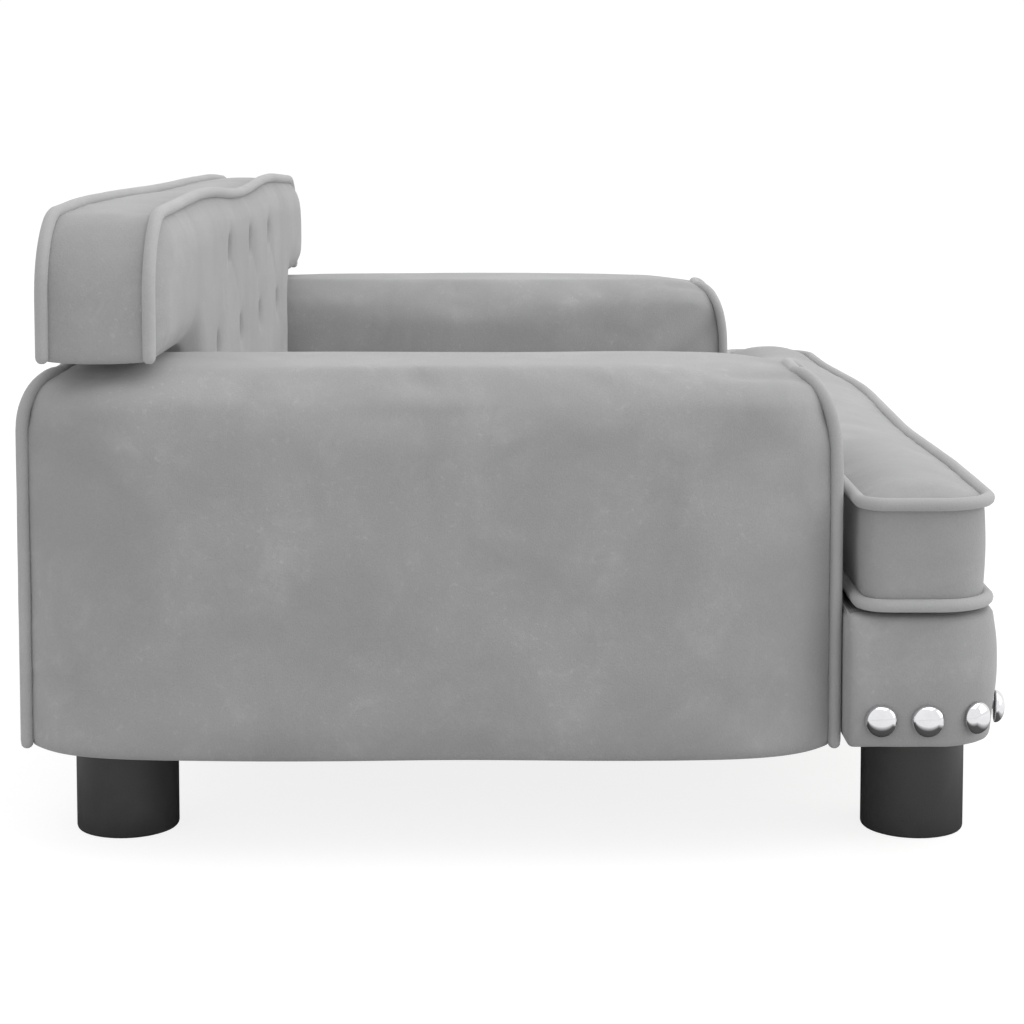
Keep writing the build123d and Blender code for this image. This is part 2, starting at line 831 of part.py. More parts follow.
def nail_swell():
    """How far the apron stands out from its outline at the height of the nails."""
    low = foot_height - cloth_thickness
    start = low + apron_edge_rounding * apron_bottom_shares[-1][0]
    peak = low + (deck_top - low) * apron_peak_share
    return apron_bulge * (nail_height + nail_diameter / 2 - start) / (peak - start)


def build_base():
    holes = bolt_holes() + insert_holes() + stud_holes()
    for name, board in base_boards().items():
        write(name, drilled(board, holes))
    write("seat_deck", seat_deck())
    write("deck_cloth", deck_cloth())
    low = frame_bottom - cloth_thickness
    cover = apron_form(0, low, deck_top) - apron_form(cloth_thickness, frame_bottom, deck_top + cloth_gap)
    opening_x = base_half_width + piece_gap
    opening_low = (-opening_x, box_rear_y - cloth_gap, frame_bottom)
    opening_high = (opening_x, apron_rear_y + piece_gap, overall_height)
    cover = cover - box_between(opening_low, opening_high)
    write("apron_cover", drilled(cover, foot_holes()))
    inner_low = frame_bottom + cloth_gap
    padding = apron_form(cloth_thickness + cloth_gap, inner_low, deck_top)
    box_low = (-box_half_width, box_front_y, 0)
    padding = padding - with_round_front(box_between(box_low, (box_half_width, rear_y, overall_height)))
    write("apron_padding", drilled(padding, foot_holes()))
    write("nail_heads", nail_heads())
    cover_low = frame_bottom - dust_cover_thickness
    dust_low = (-base_half_width, apron_rear_y + piece_gap, cover_low)
    write("dust_cover", box_between(dust_low, (base_half_width, base_rear_y, frame_bottom)))


# Feet and fasteners
def foot(x, y):
    body = upright_cylinder(x, y, 0, foot_height, foot_diameter)
    body = chamfer(body.edges().filter_by(GeomType.CIRCLE).group_by(Axis.Z)[0], foot_edge_chamfer)
    bore_start = (x, y, foot_height - stud_depth_in_foot)
    return body - prism(bore_start, (0, 0, 1), stud_depth_in_foot, stud_diameter + 2 * stud_clearance)


def prism(start, direction, length, diameter):
    """A many-sided rod, as wide across its corners as the round thing that it stands for."""
    profile = Plane(origin=start, z_dir=direction) * RegularPolygon(diameter / 2, fastener_sides)
    return extrude(profile, amount=length, dir=direction)


def insert_nut(start, direction):
    bore = prism(start, direction, insert_length, stud_diameter + 2 * insert_bore_clearance)
    return prism(start, direction, insert_length, insert_diameter) - bore


def bolt(start, direction):
    shank = prism(start, direction, bolt_length, stud_diameter)
    back = Vector(*direction) * -bolt_head_thickness
    head = prism(Vector(*start) + back, direction, bolt_head_thickness, bolt_head_diameter)
    return shank + head


def build_fasteners():
    studs = []
    for name, (x, y) in foot_places().items():
        write(name, foot(x, y))
        low = foot_height - stud_depth_in_foot + stud_clearance
        studs.append(prism((x, y, low), (0, 0, 1), frame_bottom + stud_rise - low, stud_diameter))
    write("foot_studs", studs)
    write("insert_nuts", [insert_nut(start, direction) for start, direction in insert_starts()])
    write("frame_bolts", [bolt(start, direction) for start, direction in bolt_starts()])


# Loose seat cushion
def cushion_neck_x():
    return arm_inner_x - cushion_gap_arms - piping_radius


def cushion_ear_y():
    return arm_piping_front_y - cushion_gap_ears - piping_radius


def cushion_rear_y():
    return back_face_y - cushion_gap_back - piping_radius


def cushion_corners():
    """Plan of the T-shaped cushion at the middle of its piping, ears in front of the arms."""
    half = cushion_width / 2 - piping_radius
    neck = cushion_neck_x()
    ear = cushion_ear_y()
    rear = cushion_rear_y()
    valley = front_y + piping_radius + cushion_wave
    corners = [(-half, valley)]
    for place, height in reversed(list(zip(cushion_wave_place_shares, cushion_wave_height_shares))):
        corners.append((cushion_width * place, valley - cushion_wave * height))
    corners += [(half, valley), (half, ear), (neck, ear), (neck, rear)]
    corners += [(-neck, rear), (-neck, ear), (-half, ear)]
    return corners


def cushion_radii():
    front = cushion_front_radius
    ear = cushion_ear_radius
    wave = [cushion_wave_radius] * len(cushion_wave_place_shares)
    return [front] + wave + [front, ear, ear, ear, ear, ear, ear]


def cushion_bottom_edge():
    return deck_top + deck_cloth_thickness + cushion_gap_below + cushion_bottom_crown


def cushion_form(skin):
    bottom = cushion_bottom_edge()
    top = bottom + cushion_boxing_height
    corners = cushion_corners()
    ear_depth = cushion_ear_y() - corners[0][1]
    reach = ear_depth * crown_reach_share
    edge = notch + skin * notch_skin_share
    levels = [(bottom - cushion_bottom_crown + skin, reach + skin), (bottom + skin, edge)]
    levels += [(bottom + notch, skin), ((bottom + top) / 2, cushion_drawn_in + skin)]
    levels += [(top - notch, skin), (top - skin, edge)]
    levels += crown_levels(top - skin, edge, reach + skin, cushion_top_crown)
    form = stacked(Plane.XY, corners, cushion_radii(), levels, skin > 0)
    return form + cushion_centre(skin, levels[-1][0], reach)


def cushion_centre(skin, low, reach):
    """The higher middle of the crown, over the part between the arms."""
    neck = cushion_neck_x()
    rear = cushion_rear_y()
    front = front_y + piping_radius
    seat = [(-neck, front), (neck, front), (neck, rear), (-neck, rear)]
    radii = [cushion_centre_radius] * len(seat)
    levels = [(low, 2 * reach + skin), (low + cushion_centre_crown, 2 * reach + cushion_centre_reach)]
    return stacked(Plane.XY, seat, radii, levels, skin > 0)


def zipper():
    """Tape and slider on the rear face, between the two pipings."""
    rear = cushion_rear_y()
    middle = cushion_bottom_edge() + cushion_boxing_height / 2
    tape_front = rear + cloth_gap
    tape_rear = tape_front + zip_thickness
    half = zip_length / 2
    tape = box_between((-half, tape_front, middle - zip_width / 2), (half, tape_rear, middle + zip_width / 2))
    slider_low = (half - 2 * slider_length, tape_rear, middle - slider_width / 2)
    slider_high = (half - slider_length, tape_rear + slider_thickness, middle + slider_width / 2)
    return [tape, box_between(slider_low, slider_high)]


def build_cushion():
    write("cushion_foam", cushion_form(cloth_thickness + cloth_gap))
    write("cushion_cover", cushion_form(0) - cushion_form(cloth_thickness))
    bottom = cushion_bottom_edge()
    for name, height in (
        ("cushion_piping_bottom", bottom),
        ("cushion_piping_top", bottom + cushion_boxing_height),
    ):
        write(name, outline_piping(Plane.XY.offset(height), cushion_corners(), cushion_radii()))
    write("cushion_zipper", zipper())


os.makedirs("parts", exist_ok=True)
build_base()
build_arms()
build_back()
build_fasteners()
build_cushion()
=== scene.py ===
"""Looks of the dog sofa: its velvet pads, piping, tufts, nails, feet and lining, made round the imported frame."""

import math

import bmesh
import bpy
import numpy as np
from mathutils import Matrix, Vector, noise
from mathutils.geometry import delaunay_2d_cdt
from mathutils.kdtree import KDTree

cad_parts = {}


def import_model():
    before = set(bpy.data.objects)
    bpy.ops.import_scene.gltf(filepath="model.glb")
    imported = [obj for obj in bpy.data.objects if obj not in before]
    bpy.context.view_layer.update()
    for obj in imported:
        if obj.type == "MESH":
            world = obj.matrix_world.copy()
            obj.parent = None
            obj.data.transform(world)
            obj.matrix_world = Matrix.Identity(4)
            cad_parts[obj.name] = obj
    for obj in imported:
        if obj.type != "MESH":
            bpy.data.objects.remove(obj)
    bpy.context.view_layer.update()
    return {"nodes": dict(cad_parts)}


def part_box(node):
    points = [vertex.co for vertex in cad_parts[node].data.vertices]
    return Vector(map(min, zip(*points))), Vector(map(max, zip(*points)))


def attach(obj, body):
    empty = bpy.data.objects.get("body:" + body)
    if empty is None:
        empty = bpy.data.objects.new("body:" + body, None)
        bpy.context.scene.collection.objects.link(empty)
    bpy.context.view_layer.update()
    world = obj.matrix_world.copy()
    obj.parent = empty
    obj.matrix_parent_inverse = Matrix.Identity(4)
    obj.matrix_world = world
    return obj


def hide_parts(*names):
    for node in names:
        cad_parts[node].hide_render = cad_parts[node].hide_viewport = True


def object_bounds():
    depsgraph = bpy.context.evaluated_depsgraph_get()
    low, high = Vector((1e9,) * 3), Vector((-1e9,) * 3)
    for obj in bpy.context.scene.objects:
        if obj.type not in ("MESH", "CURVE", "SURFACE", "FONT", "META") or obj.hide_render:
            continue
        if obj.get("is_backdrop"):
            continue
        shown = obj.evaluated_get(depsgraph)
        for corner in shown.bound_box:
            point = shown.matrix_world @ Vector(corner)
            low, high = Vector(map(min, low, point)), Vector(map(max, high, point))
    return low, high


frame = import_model()

# Sizes of the sewn pieces, in metres, the same as in the frame
PIPING_RADIUS = 0.003
ARM_INNER, ARM_OUTER = 0.235, 0.350
ARM_PANEL_INNER, ARM_PANEL_OUTER = 0.247, 0.325
ARM_FRONT, ARM_REAR = -0.14435, 0.22235
ARM_BOTTOM, ARM_TOP, ARM_EDGE = 0.0465, 0.2228, 0.2194
FRONT_LEAN, FRONT_LEAN_HEIGHT, FRONT_LEAN_TURN = 0.017, 0.050, 2.6
REAR_LEAN, REAR_LEAN_HEIGHT, REAR_LEAN_TURN = 0.014, 0.026, 2.0
BACK_HALF, BACK_NECK = 0.342, 0.2304
BACK_BOTTOM, BACK_WING, BACK_SHOULDER, BACK_CREST, BACK_DIP = 0.0554, 0.2264, 0.2922, 0.2989, 0.0070
BACK_FRONT, BACK_REAR = 0.1637, 0.2118
TUFT_ROWS = ((0.2650, (-0.100, 0.0, 0.100)), (0.2170, (-0.150, -0.050, 0.050, 0.150)))
TUFT_FLOOR = 0.1634
CUSHION_CLEAR = 0.1553
CUSHION_HALF, CUSHION_NECK = 0.341, 0.2296
CUSHION_EAR, CUSHION_REAR, CUSHION_VALLEY = -0.1569, 0.1517, -0.2175
CUSHION_LOW, CUSHION_HIGH = 0.1172, 0.1634
APRON_HALF, APRON_FRONT, APRON_REAR = 0.340, -0.2221, -0.1511
APRON_LOW, APRON_HIGH, APRON_TURN = 0.0508, 0.1108, 0.030
NAIL_HEIGHT, NAIL_RADIUS, NAIL_RISE, NAIL_COUNT = 0.0644, 0.0075, 0.0046, 38

# Planes and spans that the padding keeps to, so that it clears its neighbours
ARM_SPAN, ARM_REACH = (0.2340, 0.3512), (0.0462, 0.2244)
NECK_TOP, NECK_SPAN, BEND_TOP, BEND_SPAN, WING_SPAN = 0.2040, 0.2335, 0.2230, 0.2440, 0.3448
WING_START, WING_FLOOR, BACK_RANGE = 0.2520, 0.2252, (0.0525, 0.3010)
BESIDE_CUSHION, BACK_FACE_LOW, BACK_FACE_HIGH, BACK_FACE_REAR = 0.185, 0.1556, 0.1545, 0.2185
CUSHION_FLOOR, CUSHION_CEILING, CUSHION_RANGE = 0.1118, 0.1800, (-0.2300, 0.1548)
EAR_REAR, EAR_START, NECK_START, CUSHION_SPAN = -0.1530, 0.2335, -0.1535, 0.2330

# Reach and rise of the padded faces over their seams
FACE_ROLL, REAR_ROLL, TOP_ROLL, BOTTOM_ROLL = (0.015, 0.0075), (0.018, 0.0048), (0.031, 0.0080), (0.014, 0.0060)
DOME_RISE = 0.0050

# Depth and reach of what draws the face of the back in: the hollow at a button, the dip round it, and a fold
HOLLOW, DIP, FOLD = (0.0104, 0.0050), (0.0010, 0.010), (0.0008, 0.0030)

# Stuffing: the cloth run, the puckers at the seams and the raised look of the cloth
PRESSURE, FRAMES, CLOTH_STIFFNESS = 3.0, 20, 12
SOFT, FIRM = 0.6, 4.0
ARM_CAP, BACK_CAP, FACE_CAP, CUSHION_CAP, BOXING_CAP = 0.005, 0.003, 0.0010, 0.0016, 0.0006
PUCKER_WAVES, PUCKER_REACH = (85, 190), 0.010
SWELL, SWELL_SCALE = 0.0006, 13
PIPING_SIDES, PIPING_STEP, PIPING_UNEVEN = 12, 0.004, 0.03
BUMP_REACH = 0.0005

# Feet and stapled sheets
FOOT_RADIUS, FOOT_HEIGHT, FOOT_ACROSS, FOOT_FRONT, FOOT_REAR = 0.0242, 0.0520, 0.287, -0.1897, 0.1850
DUST_HEIGHT, DUST_THICKNESS, DUST_WAVE = 0.0517, 0.0006, 0.0010
DECK_HEIGHT, DECK_THICKNESS, DECK_NECK, DECK_NECK_START, DECK_TRIM = 0.1112, 0.0008, 0.2344, -0.1512, 0.002


# Outlines and flat panels
def rounded_outline(corners, radii, step):
    """Points along a closed outline with rounded corners, about a step apart."""
    corners = np.array(corners, float)
    arcs = []
    for i, radius in enumerate(radii):
        here = corners[i]
        back, on = corners[i - 1] - here, corners[(i + 1) % len(corners)] - here
        back, on = back / np.linalg.norm(back), on / np.linalg.norm(on)
        half = math.acos(np.clip(back @ on, -1, 1)) / 2
        middle = (back + on) / np.linalg.norm(back + on)
        centre = here + middle * radius / math.sin(half)
        start = here + back * radius / math.tan(half) - centre
        end = here + on * radius / math.tan(half) - centre
        first, last = math.atan2(start[1], start[0]), math.atan2(end[1], end[0])
        sweep = (last - first + math.pi) % (2 * math.pi) - math.pi
        parts = max(2, round(radius * abs(sweep) / step))
        angles = first + sweep * np.arange(parts + 1) / parts
        arcs.append(centre + radius * np.stack([np.cos(angles), np.sin(angles)], 1))
    points = []
    for i, arc in enumerate(arcs):
        points.extend(arc)
        gap = arcs[(i + 1) % len(arcs)][0] - arc[-1]
        parts = max(1, round(np.linalg.norm(gap) / step))
        points.extend(arc[-1] + gap * k / parts for k in range(1, parts))
    kept = [points[0]]
    for point in points[1:]:
        if np.linalg.norm(point - kept[-1]) > step * 0.3 and np.linalg.norm(point - kept[0]) > step * 0.3:
            kept.append(point)
    return np.array(kept)


def level(flat, height):
    """Flat points set at one height, or each at its own."""
    return np.column_stack([flat, np.broadcast_to(height, len(flat))])


def upright(flat, y):
    """Points of an upright outline of (x, z), set at one y, or each at its own."""
    return np.column_stack([flat[:, 0], np.broadcast_to(y, len(flat)), flat[:, 1]])


def outward(points):
    """Unit normals that point out of a counterclockwise outline."""
    along = np.roll(points, -1, 0) - np.roll(points, 1, 0)
    along /= np.linalg.norm(along, axis=1)[:, None]
    return np.stack([along[:, 1], -along[:, 0]], 1)


def edge_distance(points, outline):
    """Distance of flat points from an outline."""
    start, run = outline, np.roll(outline, -1, 0) - outline
    found = []
    for part in np.array_split(points, max(1, len(points) // 1500)):
        share = ((part[:, None] - start) * run).sum(-1) / (run**2).sum(-1)
        near = start + np.clip(share, 0, 1)[..., None] * run
        found.append(np.sqrt(((part[:, None] - near) ** 2).sum(-1)).min(1))
    return np.concatenate(found)


def lies_inside(points, outline):
    """Which flat points an outline holds, by how often a line from each crosses it."""
    x, y = points[:, 0, None], points[:, 1, None]
    (x0, y0), (x1, y1) = outline.T, np.roll(outline, -1, 0).T
    spans = (y0 > y) != (y1 > y)
    crossing = x0 + (y - y0) * (x1 - x0) / np.where(y1 == y0, 1e-12, y1 - y0)
    return (spans & (x < crossing)).sum(1) % 2 == 1


def grid_points(outline, step):
    """Points of an even triangular grid that lie well inside an outline, and how far they are from its edge."""
    low, high = outline.min(0), outline.max(0)
    rows = np.arange(low[1], high[1], step * math.sqrt(3) / 2)
    points = []
    for i, y in enumerate(rows):
        xs = np.arange(low[0] + (i % 2) * step / 2, high[0], step)
        points.append(np.stack([xs, np.full_like(xs, y)], 1))
    points = np.concatenate(points)
    points = points[lies_inside(points, outline)]
    depth = edge_distance(points, outline)
    keep = depth > step * 0.55
    return points[keep], depth[keep]


class Cover:
    """One sewn cover: its points, its faces, and the points that its seams hold."""

    def __init__(self):
        self.points, self.faces, self.seam = [], [], []

    def row(self, points, seam=False):
        """Adds points and gives their numbers back."""
        first = len(self.points)
        self.points.extend(tuple(float(v) for v in p) for p in points)
        ids = list(range(first, len(self.points)))
        if seam:
            self.seam.extend(ids)
        return ids

    def join(self, rows):
        """Faces between closed rows that have the same number of points."""
        for row, other in zip(rows, rows[1:]):
            for i in range(len(row)):
                j = (i + 1) % len(row)
                self.faces.append((row[i], row[j], other[j], other[i]))

    def border(self, line_at, shares):
        """Rows at shares of the way from one seam to the other. The seams hold the first and the last."""
        rows = [self.row(line_at(share), seam=share in (shares[0], shares[-1])) for share in shares]
        self.join(rows)
        return rows

    def close(self, rows):
        """One face over the first row and one over the last."""
        self.faces += [tuple(rows[0]), tuple(rows[-1])]

    def seam_lines(self, rows):
        """The closed lines of the first and the last row."""
        return [np.array([self.points[v] for v in row + row[:1]]) for row in (rows[0], rows[-1])]

    def panel(self, row, outline, step, place, fine=None):
        """Fills an outline whose edge is already a row. fine says where the cloth needs points half as far apart."""
        inside, depth = grid_points(outline, step)
        if fine:
            close, close_depth = grid_points(outline, step / 2)
            keep, close_keep = ~fine(inside), fine(close)
            inside = np.concatenate([inside[keep], close[close_keep]])
            depth = np.concatenate([depth[keep], close_depth[close_keep]])
        flat = [Vector(p) for p in outline] + [Vector(p) for p in inside]
        made = delaunay_2d_cdt(flat, [], [list(range(len(outline)))], 1, 1e-7)
        ids = list(row) + self.row(place(inside, depth))
        for face in made[2]:
            self.faces.append(tuple(ids[made[3][v][0]] for v in face))


def linked(name, data):
    """A new object in the scene."""
    piece = bpy.data.objects.new(name, data)
    bpy.context.scene.collection.objects.link(piece)
    return piece


def piece_from(name, cover):
    """A smooth shaded mesh piece whose faces all point outwards."""
    mesh = bpy.data.meshes.new(name)
    mesh.from_pydata(cover.points, [], cover.faces)
    shape = bmesh.new()
    shape.from_mesh(mesh)
    bmesh.ops.recalc_face_normals(shape, faces=shape.faces)
    shape.to_mesh(mesh)
    shape.free()
    mesh.polygons.foreach_set("use_smooth", [True] * len(mesh.polygons))
    return linked(name, mesh)


def vectors_of(items, key):
    flat = np.zeros(len(items) * 3)
    items.foreach_get(key, flat)
    return flat.reshape(-1, 3)


def places_of(piece):
    return vectors_of(piece.data.vertices, "co")


def normals_of(piece):
    return vectors_of(piece.data.vertex_normals, "vector")


def put_places(piece, places):
    piece.data.vertices.foreach_set("co", np.asarray(places, float).ravel())
    piece.data.update()


def settled(piece):
    """Puts what the modifiers make into the piece's own mesh and drops them."""
    graph = bpy.context.evaluated_depsgraph_get()
    mesh = bpy.data.meshes.new_from_object(piece.evaluated_get(graph))
    piece.modifiers.clear()
    piece.vertex_groups.clear()
    piece.data = mesh
    mesh.name = piece.name
    return piece


# Padding: the cover is blown up between its seams, then made finer
def fill(piece, held, cap, bound, stiffness=FIRM):
    """Blows a cover up between the points that its seams hold, each point no further than its cap or its bound."""
    rest = places_of(piece)
    piece.vertex_groups.new(name="seams").add(sorted(set(held)), 1.0, "REPLACE")
    cloth = piece.modifiers.new("padding", "CLOTH")
    settings = cloth.settings
    settings.quality = 5
    settings.mass = 0.3
    settings.tension_stiffness = settings.compression_stiffness = CLOTH_STIFFNESS
    settings.shear_stiffness = CLOTH_STIFFNESS / 2
    settings.bending_stiffness = stiffness
    settings.vertex_group_mass = "seams"
    settings.use_pressure = True
    settings.uniform_pressure_force = PRESSURE
    settings.effector_weights.gravity = 0
    cloth.collision_settings.use_collision = False
    cloth.collision_settings.use_self_collision = False
    cloth.point_cache.frame_start, cloth.point_cache.frame_end = 1, FRAMES
    scene = bpy.context.scene
    for step in range(1, FRAMES + 1):
        scene.frame_set(step)
    settled(piece)
    scene.frame_set(1)
    moved = places_of(piece) - rest
    length = np.linalg.norm(moved, axis=1)[:, None]
    moved *= np.minimum(1, np.reshape(cap, (-1, 1)) / np.maximum(length, 1e-9))
    put_places(piece, bound(rest + moved))
    return piece


def finer(piece):
    """One level of subdivision, kept in the mesh."""
    surface = piece.modifiers.new("finer", "SUBSURF")
    surface.levels = surface.render_levels = 1
    surface.boundary_smooth = "PRESERVE_CORNERS"
    return settled(piece)


def tree_of(points):
    """Search tree over points."""
    tree = KDTree(len(points))
    for i, point in enumerate(points):
        tree.insert(Vector(point), i)
    tree.balance()
    return tree


def sewn(piece, lines, seed, pucker=0.0005):
    """Small puckers beside the seams and the slow unevenness of hand-stuffed padding."""
    places, normals = places_of(piece), normals_of(piece)
    before = [np.cumsum(np.linalg.norm(np.diff(line, axis=0, prepend=line[:1]), axis=1)) for line in lines]
    tree, before = tree_of(np.concatenate(lines)), np.concatenate(before)
    shift = np.zeros(len(places))
    for i, place in enumerate(places):
        _, index, distance = tree.find(Vector(place))
        slow, quick = (before[index] * wave for wave in PUCKER_WAVES)
        ripple = noise.noise(Vector((slow, seed, 0.3))) + 0.6 * noise.noise(Vector((quick, seed, 7.1)))
        shift[i] = pucker * ripple * math.exp(-distance / PUCKER_REACH) * min(1, distance / 0.003)
        uneven = noise.noise(Vector(place) * SWELL_SCALE + Vector((seed, 3.0, 1.0)))
        shift[i] += SWELL * uneven * min(1, distance / 0.02)
    put_places(piece, places + normals * shift[:, None])
    return piece


# Arms
def lean_at(height, lean, reach, turn):
    """How far an end of the arm leans in at a height: more and more, as it turns over into the top."""
    share = np.clip((np.asarray(height) - ARM_EDGE + reach) / reach, 0, 1)
    return lean * (1 - np.sqrt(1 - share**turn))


def arm_wall(height, at_front):
    """Where the end of the arm stands at a height."""
    if at_front:
        return ARM_FRONT + lean_at(height, FRONT_LEAN, FRONT_LEAN_HEIGHT, FRONT_LEAN_TURN)
    return ARM_REAR - lean_at(height, REAR_LEAN, REAR_LEAN_HEIGHT, REAR_LEAN_TURN)


def arm_section(inner, outer, top, roll_inner, roll_outer, drop, slope):
    """Section of the right arm: along the bottom, up the outside, over the rolled top and down the inside.

    The top is higher by slope at the inside and lower by slope at the outside.
    """

    def run(start, end, parts):
        shares = np.arange(parts) / parts
        return np.outer(1 - shares, start) + np.outer(shares, end)

    def turn(centre, reach, first, parts):
        angles = np.radians(first + 90 * np.arange(parts) / parts)
        return np.stack([centre[0] + reach[0] * np.cos(angles), centre[1] + reach[1] * np.sin(angles)], 1)

    low, corner = ARM_BOTTOM, 0.006
    return np.concatenate(
        [
            run((inner + corner, low), (outer - corner, low), 9),
            turn((outer - corner, low + corner), (corner, corner), -90, 3),
            run((outer, low + corner), (outer, top - drop), 20),
            turn((outer - roll_outer, top - drop), (roll_outer, drop - slope), 0, 8),
            run((outer - roll_outer, top - slope), (inner + roll_inner, top + slope), 5),
            turn((inner + roll_inner, top - drop), (roll_inner, drop + slope), 90, 8),
            run((inner, top - drop), (inner, low + corner), 20),
            turn((inner + corner, low + corner), (corner, corner), 180, 3),
        ]
    )


def arm_stations(length):
    """How far along the arm each section stands, closer together near its ends."""
    near = [0, 0.002, 0.0045, 0.008, 0.0125, 0.018, 0.0245, 0.032, 0.040, 0.0485]
    middle = list(np.arange(0.0555, length / 2, 0.0072))
    half = near + middle
    return np.array(half + [length - d for d in reversed(half)])


def arm_pad(side, name):
    """Cover of an arm: sections that swell between its ends, and a crowned panel at each end."""
    stand, tuck, end_top, end_roll = 0.0020, 0.0055, 0.2200, 0.018
    length = ARM_REAR - ARM_FRONT + 2 * stand
    crown_rise, crown_reach, panel_step = 0.0030, 0.012, 0.009
    rows, cover = [], Cover()

    def grown(along, reach):
        return 1 - math.exp(-along / reach) - math.exp((along - length) / reach)

    stations = arm_stations(length)
    for i, along in enumerate(stations):
        swell, rise = grown(along, 0.019), grown(along, 0.012)
        section = arm_section(
            inner=ARM_PANEL_INNER + tuck + (ARM_INNER - ARM_PANEL_INNER - tuck) * swell,
            outer=ARM_PANEL_OUTER - tuck + (ARM_OUTER - ARM_PANEL_OUTER + 0.0050) * swell,
            top=end_top + (ARM_TOP - end_top) * rise,
            roll_inner=end_roll + 0.006 * swell,
            roll_outer=end_roll + 0.008 * swell,
            drop=end_roll - 0.0025 * swell,
            slope=0.0012 * max(rise, 0),
        )
        front = arm_wall(section[:, 1], True) - stand
        rear = arm_wall(section[:, 1], False) + stand
        share = along / length
        places = np.stack([side * section[:, 0], front * (1 - share) + rear * share, section[:, 1]], 1)
        rows.append(cover.row(places, seam=i in (0, len(stations) - 1)))
        if i == 0:
            edge = section
    cover.join(rows)

    def end_panel(at_front):
        way = -1 if at_front else 1

        def place(flat, depth):
            crown = crown_rise * (1 - np.exp(-depth / crown_reach))
            y = arm_wall(flat[:, 1], at_front) + way * (stand + crown)
            return np.stack([side * flat[:, 0], y, flat[:, 1]], 1)

        return place

    cover.panel(rows[0], edge, panel_step, end_panel(True))
    cover.panel(rows[-1], edge, panel_step, end_panel(False))
    bottom = [v for v, p in enumerate(cover.points) if p[2] < ARM_BOTTOM + 0.001]

    def bound(places):
        x = np.clip(side * places[:, 0], *ARM_SPAN)
        return np.stack([side * x, places[:, 1], np.clip(places[:, 2], *ARM_REACH)], 1)

    piece = piece_from(name, cover)
    fill(piece, cover.seam + bottom, ARM_CAP, bound, stiffness=SOFT)
    finer(piece)
    return sewn(piece, cover.seam_lines(rows), side * 3.3)


def tube(name, line, across, closed):
    """Piping round a line: a covered cord, a little uneven, with round ends. across is never along the line."""
    line, radius = np.array(line, float), PIPING_RADIUS
    along = np.roll(line, -1, 0) - np.roll(line, 1, 0) if closed else np.gradient(line, axis=0)
    along /= np.linalg.norm(along, axis=1)[:, None]
    out = np.cross(along, across)
    out /= np.linalg.norm(out, axis=1)[:, None]
    up = np.cross(out, along)
    angles = 2 * math.pi * np.arange(PIPING_SIDES) / PIPING_SIDES
    spread = [np.outer(np.cos(angles), a) + np.outer(np.sin(angles), b) for a, b in zip(out, up)]
    rings = []
    for point, around in zip(line, spread):
        rings.append(point + radius * (1 + PIPING_UNEVEN * noise.noise(Vector(point) * 60)) * around)
    if not closed:
        first, last = [], []
        for angle in (0.45, 0.85, 1.2):
            for i, way, end in ((0, -1, first), (-1, 1, last)):
                centre = line[i] + way * along[i] * (math.sin(angle) * radius - radius)
                end.append(centre + radius * math.cos(angle) * spread[i])
        clear = [np.linalg.norm(line[[0, -1]] - point, axis=1).min() > radius for point in line]
        rings = first[::-1] + [ring for ring, kept in zip(rings, clear) if kept] + last
    cover = Cover()
    rows = [cover.row(ring) for ring in rings]
    cover.join(rows + rows[:1] if closed else rows)
    if not closed:
        cover.close(rows)
    return piece_from(name, cover)


def arm_piping(side, at_front, name):
    """Piping round one end of the arm, up the outside, over the top and down the inside."""
    inner, outer = ARM_PANEL_INNER + PIPING_RADIUS, ARM_PANEL_OUTER - PIPING_RADIUS
    top, radius = ARM_EDGE, 0.018
    angles = np.radians(np.arange(0, 91, 10))
    half = [(outer, z) for z in np.arange(ARM_BOTTOM, top - radius, PIPING_STEP)]
    half += [(outer - radius + radius * math.cos(a), top - radius + radius * math.sin(a)) for a in angles]
    over = [(x, top) for x in np.arange(outer - radius - PIPING_STEP, inner + radius, -PIPING_STEP)]
    down = [(inner + outer - x, z) for x, z in reversed(half)]
    way = -1 if at_front else 1
    line = []
    for x, z in half + over + down:
        line.append((side * x, arm_wall(z, at_front) + way * (PIPING_RADIUS + 0.00015), z))
    return tube(name, line, (0, 1, 0), closed=False)


# Back
BACK_CORNERS = [
    (-BACK_NECK, BACK_BOTTOM),
    (BACK_NECK, BACK_BOTTOM),
    (BACK_NECK, BACK_WING),
    (BACK_HALF, BACK_WING),
    (BACK_HALF, BACK_SHOULDER),
    (0.150, BACK_CREST),
    (0, BACK_CREST - BACK_DIP),
    (-0.150, BACK_CREST),
    (-BACK_HALF, BACK_SHOULDER),
    (-BACK_HALF, BACK_WING),
    (-BACK_NECK, BACK_WING),
]
BACK_RADII = [0.011, 0.011, 0.020, 0.004, 0.038, 1.4, 1.4, 1.4, 0.038, 0.004, 0.020]


def back_outline(step, at_rear):
    """Outline of the back in its front or its rear seam. The crest is straighter at the rear."""
    outline = rounded_outline(BACK_CORNERS, BACK_RADII, step)
    if at_rear:
        crest_start, crest_end, crest_height = 0.286, 0.300, 0.2957
        top = outline[:, 1] > crest_start
        share = np.clip((crest_end - np.abs(outline[top, 0])) / 0.11, 0, 1)
        outline[top, 1] += (crest_height - outline[top, 1]) * 0.85 * share * share * (3 - 2 * share)
    return outline


def tuft_places():
    return [(x, z) for z, row in TUFT_ROWS for x in row]


def tuft_pleats():
    """The folds that run between neighbouring buttons of the two rows."""
    (high, upper), (low, lower) = TUFT_ROWS
    return [((a, high), (b, low)) for a in upper for b in lower if abs(a - b) < 0.06]


